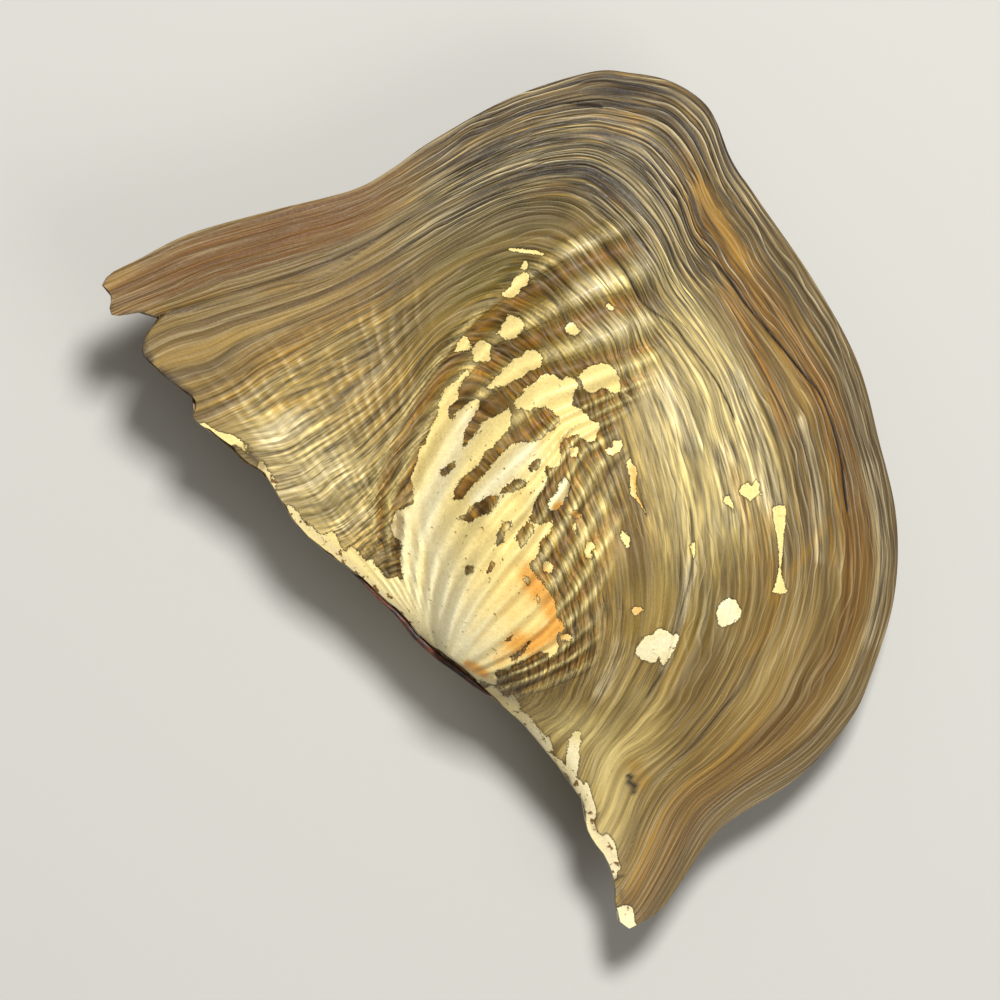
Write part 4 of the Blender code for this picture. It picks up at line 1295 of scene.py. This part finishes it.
def growth_noise(tree, lines_per_mm, stretch, detail, seed):
    """Noise whose grain follows the growth lines: thin across them, long along them."""
    across = math_node(tree, "MULTIPLY", grown, lines_per_mm)
    along = math_node(tree, "MULTIPLY", marks["around"], lines_per_mm / stretch)
    vector = add(tree, "ShaderNodeCombineXYZ", {"X": along, "Y": across, "Z": seed})
    return add(tree, "ShaderNodeTexNoise", {"Vector": vector, "Scale": 1.0, "Detail": detail})


def crisp_lines(tree, noise, width):
    """Thin lines where a noise passes its middle value, as long and uneven as the noise is."""
    middle = math_node(tree, "ABSOLUTE", math_node(tree, "SUBTRACT", noise, 0.5))
    return ranged(tree, middle, 0.0, width, 1.0, 0.0)


hairs = growth_noise(tree, HAIRS_PER_MM, 18.0, 1.0, 5.0)
threads = growth_noise(tree, THREADS_PER_MM, 30.0, 2.0, 3.0)
bands = growth_noise(tree, BANDS_PER_MM, 40.0, 2.0, 8.0)
coarse_bands = growth_noise(tree, 0.22, 30.0, 1.0, 14.0)
hues = growth_noise(tree, 0.45, 45.0, 1.5, 21.0)
grain = add(tree, "ShaderNodeTexNoise", {"Vector": in_mm, "Scale": 3.0, "Detail": 4.0})
crumbs = add(tree, "ShaderNodeTexNoise", {"Vector": in_mm, "Scale": 7.0, "Detail": 2.0})
blotches = add(tree, "ShaderNodeTexNoise", {"Vector": in_mm, "Scale": 0.3, "Detail": 3.0})

# %% Dark lines, painted shadow at old growth edges, and bright lines, painted highlights on them
long_lines = crisp_lines(tree, growth_noise(tree, 0.85, 50.0, 1.0, 31.0), 0.10)
short_lines = crisp_lines(tree, growth_noise(tree, 1.5, 22.0, 1.0, 37.0), 0.16)
line_patches = ranged(tree, growth_noise(tree, 0.25, 6.0, 1.0, 41.0), 0.35, 0.6)
short_lines = math_node(tree, "MULTIPLY", short_lines, line_patches)
dark_lines = math_node(tree, "MULTIPLY", math_node(tree, "MAXIMUM", long_lines, short_lines), marks["lamella_shading_and_tint"])
bright_lines = crisp_lines(tree, growth_noise(tree, 1.1, 50.0, 1.0, 53.0), 0.08)
bright_patches = ranged(tree, growth_noise(tree, 0.35, 5.0, 1.0, 59.0), 0.4, 0.6, 0.25, 1.0)
bright_lines = math_node(tree, "MULTIPLY", bright_lines, bright_patches)
sheen_weight = math_node(tree, "MULTIPLY_ADD", marks["sheen_and_gloss"], 0.8, 0.22)
bright_lines = math_node(tree, "MULTIPLY", bright_lines, sheen_weight)


# %% Lamellae: thin leaves of skin, each with a lip over the next
LAMELLAE_PER_MM = 1.25
shift = growth_noise(tree, 0.16, 2.2, 2.0, 67.0)
count = math_node(tree, "MULTIPLY_ADD", grown, LAMELLAE_PER_MM, math_node(tree, "MULTIPLY", shift, 4.0))
lamella = math_node(tree, "FRACT", count)
# Painted shadow just under each lip and a painted highlight on it. Both also shape the bump.
under_lip = ranged(tree, lamella, 0.1, 0.3, 1.0, 0.0)
on_lip = ranged(tree, lamella, 0.7, 0.95)
lip_patches = ranged(tree, growth_noise(tree, 0.5, 8.0, 1.0, 71.0), 0.34, 0.54, 0.2, 1.0)
under_lip = math_node(tree, "MULTIPLY", math_node(tree, "MULTIPLY", under_lip, lip_patches), marks["lamella_shading_and_tint"])
on_lip = math_node(tree, "MULTIPLY", math_node(tree, "MULTIPLY", on_lip, lip_patches), marks["lamella_shading_and_tint"])

# %% Fine riblets, too narrow for the mesh: twice as many on the outer part of the slope
bent = math_node(tree, "MULTIPLY_ADD", slow_wobble, 2.4, marks["direction"])
fine_riblets = math_node(tree, "COSINE", math_node(tree, "MULTIPLY", bent, 2 * np.pi / 2.3))
few_riblets = math_node(tree, "COSINE", math_node(tree, "MULTIPLY", bent, 2 * np.pi / 4.6))
outer = ranged(tree, marks["grown"], 15.0, 24.0)
riblets = add(tree, "ShaderNodeMix", {0: outer, 2: few_riblets, 3: fine_riblets})
rib_patches = ranged(tree, blotches, 0.4, 0.62, 0.1, 1.0)
riblets = math_node(tree, "MULTIPLY", math_node(tree, "MULTIPLY", riblets, rib_patches), marks["ribbed"])
# %% Colour of the skin, with painted shade, sheen and highlights
SKIN_TAN = linear("#B09450")
SKIN_BROWN = linear("#7B632F")
SKIN_PALE_AND_HIGHLIGHT = linear("#E2CF90")
SKIN_AMBER = linear("#9E7018")
SKIN_GOLD = linear("#B0892C")
SKIN_OLIVE = linear("#7C6C16")
SKIN_RIM = linear("#8C7850")
SKIN_PURPLE = linear("#4A3A28")
SKIN_VALLEY = linear("#93681A")
SKIN_HIGHLIGHT = linear("#E8DAB4")
SKIN_SHADOW = linear("#1A1008")
SKIN_UMBER = linear("#85755A")


def tinted(colour, share, streaks, low, high, tint):
    """A tint laid over a colour where its mark is, stronger and weaker from streak to streak."""
    streaky = math_node(tree, "MULTIPLY", share, ranged(tree, streaks, 0.38, 0.62, low, high))
    return mixed(tree, streaky, colour, tint)


skin_colour = mixed(tree, ranged(tree, bands, 0.38, 0.62), SKIN_BROWN, SKIN_TAN)
skin_colour = tinted(skin_colour, marks["pale_and_highlight"], bands, 0.5, 0.95, SKIN_PALE_AND_HIGHLIGHT)
skin_colour = tinted(skin_colour, marks["rim"], hues, 0.95, 0.5, SKIN_RIM)
skin_colour = tinted(skin_colour, marks["olive"], hues, 0.6, 1.0, SKIN_OLIVE)
skin_colour = tinted(skin_colour, marks["amber"], hues, 0.6, 1.0, SKIN_AMBER)
skin_colour = tinted(skin_colour, marks["gold"], bands, 0.6, 1.0, SKIN_GOLD)
purple_share = math_node(tree, "MULTIPLY", marks["lamella_shading_and_tint"], ranged(tree, hues, 0.45, 0.35))
skin_colour = mixed(tree, math_node(tree, "MULTIPLY", purple_share, 0.4), skin_colour, SKIN_PURPLE)

uneven = ranged(tree, math_node(tree, "ADD", blotches, grain), 0.8, 1.15, 0.35, 1.0)
# Fold valleys get a golden tone, partly their own and partly painted shade. Fold crests get painted highlights.
uneven_folds = math_node(tree, "MULTIPLY", marks["fold"], uneven)
valleys = math_node(tree, "MULTIPLY", uneven_folds, -1.0, clamp=True)
skin_colour = mixed(tree, valleys, skin_colour, SKIN_VALLEY)
crests = math_node(tree, "MULTIPLY", uneven_folds, 1.0, clamp=True)
skin_colour = mixed(tree, crests, skin_colour, SKIN_PALE_AND_HIGHLIGHT)
# Painted shade in the riblet grooves and painted highlights on the riblet tops.
grooves = math_node(tree, "MULTIPLY", riblets, -0.3, clamp=True)
skin_colour = mixed(tree, grooves, skin_colour, SKIN_BROWN)
rib_tops = math_node(tree, "MULTIPLY", math_node(tree, "MULTIPLY", riblets, hairs), 0.5, clamp=True)
skin_colour = mixed(tree, rib_tops, skin_colour, SKIN_HIGHLIGHT)
# Painted sheen where the sheen mark is, streaked by the threads.
skin_colour = tinted(skin_colour, marks["sheen_and_gloss"], threads, 0.1, 0.75, SKIN_HIGHLIGHT)

# Lighter and darker along hairs and threads: partly their streaky tone, partly painted light and shade of their
# relief.
light_steps = ((hairs, 0.5, 1.5), (threads, 0.6, 1.4), (coarse_bands, 0.78, 1.12), (blotches, 0.82, 1.1))
lined = math_node(tree, "ADD", marks["sheen_and_gloss"], marks["lined"], clamp=True)
for noise, darkest, lightest in light_steps:
    light = ranged(tree, noise, 0.32, 0.68, darkest, lightest)
    skin_colour = mixed(tree, lined, skin_colour, light, "MULTIPLY")
# Darkening toward umber, partly painted shade where the shell slopes away from the light.
umber_share = math_node(tree, "MULTIPLY", marks["umber_tone_and_shade"], 0.6)
skin_colour = mixed(tree, umber_share, skin_colour, SKIN_UMBER, "MULTIPLY")
# Painted highlights on each lip and along the bright lines.
bright_share = math_node(tree, "MULTIPLY_ADD", on_lip, 0.7, bright_lines, clamp=True)
skin_colour = mixed(tree, bright_share, skin_colour, SKIN_HIGHLIGHT)
skin_colour = add(tree, "ShaderNodeGamma", {"Color": skin_colour, "Gamma": 1.22})
# Painted shadow beyond growth steps and ledges, along the dark lines, under each lip and in cracks.
dark_share = math_node(tree, "MAXIMUM", math_node(tree, "MULTIPLY", marks["shadow"], 0.9), dark_lines)
dark_share = math_node(tree, "MAXIMUM", dark_share, math_node(tree, "MAXIMUM", under_lip, marks["crack_shade"]))
dark_share = math_node(tree, "MULTIPLY", dark_share, 0.94, clamp=True)
skin_colour = mixed(tree, dark_share, skin_colour, SKIN_SHADOW)

# %% Colour of the bare shell
BARE_CREAM = linear("#EBD48A")
BARE_WHITE = linear("#EFE4B8")
BARE_SHADE = linear("#C2AA74")
BARE_STAIN = linear("#DDA24C")
BARE_DIRT_AND_SHADE = linear("#6E4E26")
BARE_WORN = linear("#CDBD92")

ray_direction = math_node(tree, "MULTIPLY", marks["direction"], 0.16)
ray_length = math_node(tree, "MULTIPLY", marks["grown"], 0.12)
ray_vector = add(tree, "ShaderNodeCombineXYZ", {"X": ray_direction, "Y": ray_length, "Z": 2.0})
rays = add(tree, "ShaderNodeTexNoise", {"Vector": ray_vector, "Scale": 1.0, "Detail": 3.0})
pearl_share = math_node(tree, "MULTIPLY", marks["pearl"], ranged(tree, rays, 0.3, 0.5, 0.6, 1.0))
bare_colour = mixed(tree, pearl_share, BARE_CREAM, BARE_WHITE)
shade_share = math_node(tree, "MULTIPLY", marks["fold"], -0.6, clamp=True)
pearl_shade = math_node(tree, "MULTIPLY_ADD", marks["pearl"], 0.4, 0.2)
shade_share = math_node(tree, "MULTIPLY", shade_share, pearl_shade)
bare_colour = mixed(tree, shade_share, bare_colour, BARE_SHADE)
stain_share = math_node(tree, "MULTIPLY_ADD", blotches, 1.0, marks["stain"])
stain_share = math_node(tree, "MULTIPLY_ADD", grain, 1.2, math_node(tree, "SUBTRACT", stain_share, 0.35))
bare_colour = mixed(tree, ranged(tree, stain_share, 0.95, 1.6), bare_colour, BARE_STAIN)
worn_share = math_node(tree, "MULTIPLY", marks["worn"], ranged(tree, grain, 0.4, 0.6, 0.3, 0.9))
bare_colour = mixed(tree, worn_share, bare_colour, BARE_WORN)
mottle = ranged(tree, math_node(tree, "ADD", grain, crumbs), 0.7, 1.3, 0.82, 1.08)
bare_colour = mixed(tree, 1.0, bare_colour, mottle, "MULTIPLY")
pits = add(tree, "ShaderNodeTexNoise", {"Vector": in_mm, "Scale": 1.6, "Detail": 3.0})
dirt_noise = math_node(tree, "MULTIPLY_ADD", marks["worn"], 0.1, pits)
# Dirt in the pits, and painted shade in cracks and broken edges.
dirt_and_crack_shade = math_node(tree, "MAXIMUM", ranged(tree, dirt_noise, 0.66, 0.74), marks["crack_shade"])
bare_colour = mixed(tree, dirt_and_crack_shade, bare_colour, BARE_DIRT_AND_SHADE)

# %% Where one gives way to the other
RAGGED_MM = 0.25
ragged = math_node(tree, "ADD", math_node(tree, "SUBTRACT", grain, 0.5), math_node(tree, "SUBTRACT", pits, 0.5))
ragged = math_node(tree, "ADD", ragged, math_node(tree, "SUBTRACT", crumbs, 0.5))
raggedness = ranged(tree, marks["grown"], 26.0, 36.0, RAGGED_MM * 2, RAGGED_MM)
edge_depth = math_node(tree, "MULTIPLY_ADD", ragged, raggedness, marks["bare"])
bare_share = ranged(tree, edge_depth, -0.03, 0.03)
# The skin darkens toward the bare edge: partly its own darker edge, partly painted shade of its step.
rim_of_skin = ranged(tree, edge_depth, -0.2, -0.02, 1.0, 0.5)
skin_colour = mixed(tree, 1.0, skin_colour, rim_of_skin, "MULTIPLY")
surface_colour = mixed(tree, bare_share, skin_colour, bare_colour)
tree.links.new(surface_colour, shader.inputs["Base Color"])

# %% Gloss and fine relief
skin_rough = ranged(tree, grain, 0.3, 0.7, 0.5, 0.66)
skin_rough = math_node(tree, "MULTIPLY_ADD", marks["sheen_and_gloss"], -0.22, skin_rough)
skin_rough = math_node(tree, "MULTIPLY_ADD", crests, -0.08, skin_rough)
roughness = add(tree, "ShaderNodeMix", {0: bare_share, 2: skin_rough, 3: 0.42})
tree.links.new(roughness, shader.inputs["Roughness"])
shader.inputs["IOR"].default_value = 1.54
shader.inputs["Specular IOR Level"].default_value = 0.32

HAIR_MM = 0.06
THREAD_MM = 0.16
BAND_MM = 0.16
GRAIN_MM = 0.04
LINE_MM = -0.10
BRIGHT_LINE_MM = 0.05
FINE_RIBLET_MM = 0.03
LIP_MM = -0.1
SKIN_MM = -0.05
skin_height = math_node(tree, "MULTIPLY", math_node(tree, "MULTIPLY", threads, lined), THREAD_MM)
fine_parts = (
    (hairs, HAIR_MM), (bands, BAND_MM), (grain, GRAIN_MM), (dark_lines, LINE_MM),
    (bright_lines, BRIGHT_LINE_MM), (riblets, FINE_RIBLET_MM), (under_lip, LIP_MM), (on_lip, -LIP_MM),
)
for part, depth in fine_parts:
    skin_height = math_node(tree, "MULTIPLY_ADD", part, depth, skin_height)
bare_height = math_node(tree, "MULTIPLY_ADD", pits, 0.05, SKIN_MM)
height = add(tree, "ShaderNodeMix", {0: bare_share, 2: skin_height, 3: bare_height})
bump = add(tree, "ShaderNodeBump", {"Strength": 1.0, "Distance": MM, "Height": height})
tree.links.new(bump, shader.inputs["Normal"])

# %% Mother-of-pearl inside
pearl, tree, shader = new_material("mother_of_pearl_lining")
place = add(tree, "ShaderNodeTexCoord", output="Object")
in_mm = add(tree, "ShaderNodeVectorMath", {0: place, 3: 1000.0}, operation="SCALE")
clouds = add(tree, "ShaderNodeTexNoise", {"Vector": in_mm, "Scale": 0.12, "Detail": 3.0})
pearl_colour = mixed(tree, clouds, linear("#E9E4DC"), linear("#DCCFD2"))
tree.links.new(pearl_colour, shader.inputs["Base Color"])
shader.inputs["Roughness"].default_value = 0.25
shader.inputs["IOR"].default_value = 1.6

# %% The broken edge between the valves
edge_layers, tree, shader = new_material("layered_shell_edge")
place = add(tree, "ShaderNodeTexCoord", output="Object")
in_mm = add(tree, "ShaderNodeVectorMath", {0: place, 3: 1000.0}, operation="SCALE")
streaks = add(tree, "ShaderNodeTexNoise", {"Vector": in_mm, "Scale": 0.9, "Detail": 5.0})
edge_colour = mixed(tree, ranged(tree, streaks, 0.4, 0.6), linear("#4A3420"), linear("#A08358"))
tree.links.new(edge_colour, shader.inputs["Base Color"])
shader.inputs["Roughness"].default_value = 0.55
edge_bump = add(tree, "ShaderNodeBump", {"Strength": 0.6, "Distance": MM * 0.2, "Height": streaks})
tree.links.new(edge_bump, shader.inputs["Normal"])

for name, valve in valves.items():
    for finish in (skin, pearl, edge_layers):
        valve.data.materials.append(finish)
    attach(valve, "root")
    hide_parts(name)

# %% [markdown]
# The ligament
#
# A strip of elastic horn joins the valves behind the beak. In a dry shell it
# is dark, split into fibres along its length and shrunken at both ends. It is
# modelled as a tube whose skin is drawn in between the fibres.

# %% Build the ligament
LIGAMENT_THICKNESS = [
    (-4.6, 0.13), (-2.4, 0.30), (0.0, 0.36), (4.0, 0.36), (8.0, 0.30), (12.0, 0.20), (15.5, 0.13),
]
LIGAMENT_GAP = 0.08
LIGAMENT_STATIONS = 150
LIGAMENT_SIDES = 40
FIBRES_ROUND = 9
FIBRE_DEPTH = 0.16

ligament_along = np.linspace(LIGAMENT_THICKNESS[0][0], LIGAMENT_THICKNESS[-1][0], LIGAMENT_STATIONS)
ligament_radius = np.interp(ligament_along, *zip(*LIGAMENT_THICKNESS))
clear = LIGAMENT_GAP + ligament_radius
ligament_out = np.interp(ligament_along, *zip(*TOP_EDGES["left_valve"])) - clear
end_share = smooth_step(ligament_along, ligament_along[0], ligament_along[0] + 0.5)
end_share = end_share * (1 - smooth_step(ligament_along, ligament_along[-1] - 1.0, ligament_along[-1]))
ligament_radius = ligament_radius * np.maximum(end_share, 0.25)
turns = np.linspace(0, 2 * np.pi, LIGAMENT_SIDES, endpoint=False)
twist = 0.5 * patchy(ligament_along / 3.0, np.zeros(LIGAMENT_STATIONS), 91)
fibres = np.abs(np.sin((turns[None, :] + twist[:, None]) * FIBRES_ROUND / 2))
splits = 0.06 * patchy(ligament_along[:, None] / 0.7, turns[None, :] * 2, 93)
tube_radius = ligament_radius[:, None] * (1 - FIBRE_DEPTH + FIBRE_DEPTH * fibres + splits)
tube = np.stack([
    np.repeat(ligament_along[:, None], LIGAMENT_SIDES, axis=1),
    ligament_out[:, None] + tube_radius * np.cos(turns),
    (clear - SEAM_GAP)[:, None] + tube_radius * np.sin(turns),
], axis=-1)
numbers = np.arange(tube[..., 0].size).reshape(tube.shape[:2])
next_side = np.roll(numbers, -1, axis=1)
tube_faces = np.stack([numbers[:-1], next_side[:-1], next_side[1:], numbers[1:]], axis=-1).reshape(-1, 4)
caps = [tuple(numbers[0].tolist()), tuple(numbers[-1, ::-1].tolist())]
ligament_mesh = closed_mesh("ligament_strip", to_world(tube.reshape(-1, 3)),
                            [tuple(face) for face in tube_faces.tolist()] + caps)
fibre_mark = ligament_mesh.attributes.new("fibre", "FLOAT", "POINT")
fibre_mark.data.foreach_set("value", fibres.astype(np.float32).ravel())
ligament_mesh.shade_smooth()
ligament = bpy.data.objects.new("ligament_strip", ligament_mesh)
bpy.context.scene.collection.objects.link(ligament)

# %% The ligament's horn
horn, tree, shader = new_material("dried_ligament_horn")
place = add(tree, "ShaderNodeTexCoord", output="Object")
in_mm = add(tree, "ShaderNodeVectorMath", {0: place, 3: 1000.0}, operation="SCALE")
patches = add(tree, "ShaderNodeTexNoise", {"Vector": in_mm, "Scale": 0.8, "Detail": 4.0})
fibre = add(tree, "ShaderNodeAttribute", output="Fac", attribute_name="fibre")
horn_colour = mixed(tree, ranged(tree, patches, 0.4, 0.65), linear("#1F0E07"), linear("#6A2E12"))
# Painted shade between the fibres, where the tube is drawn in.
horn_colour = mixed(tree, 1.0, horn_colour, ranged(tree, fibre, 0.0, 0.7, 0.35, 1.0), "MULTIPLY")
tree.links.new(horn_colour, shader.inputs["Base Color"])
shader.inputs["Roughness"].default_value = 0.42
shader.inputs["IOR"].default_value = 1.54
horn_bump = add(tree, "ShaderNodeBump", {"Strength": 0.5, "Distance": MM * 0.15, "Height": patches})
tree.links.new(horn_bump, shader.inputs["Normal"])
ligament_mesh.materials.append(horn)
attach(ligament, "root")
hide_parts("ligament")
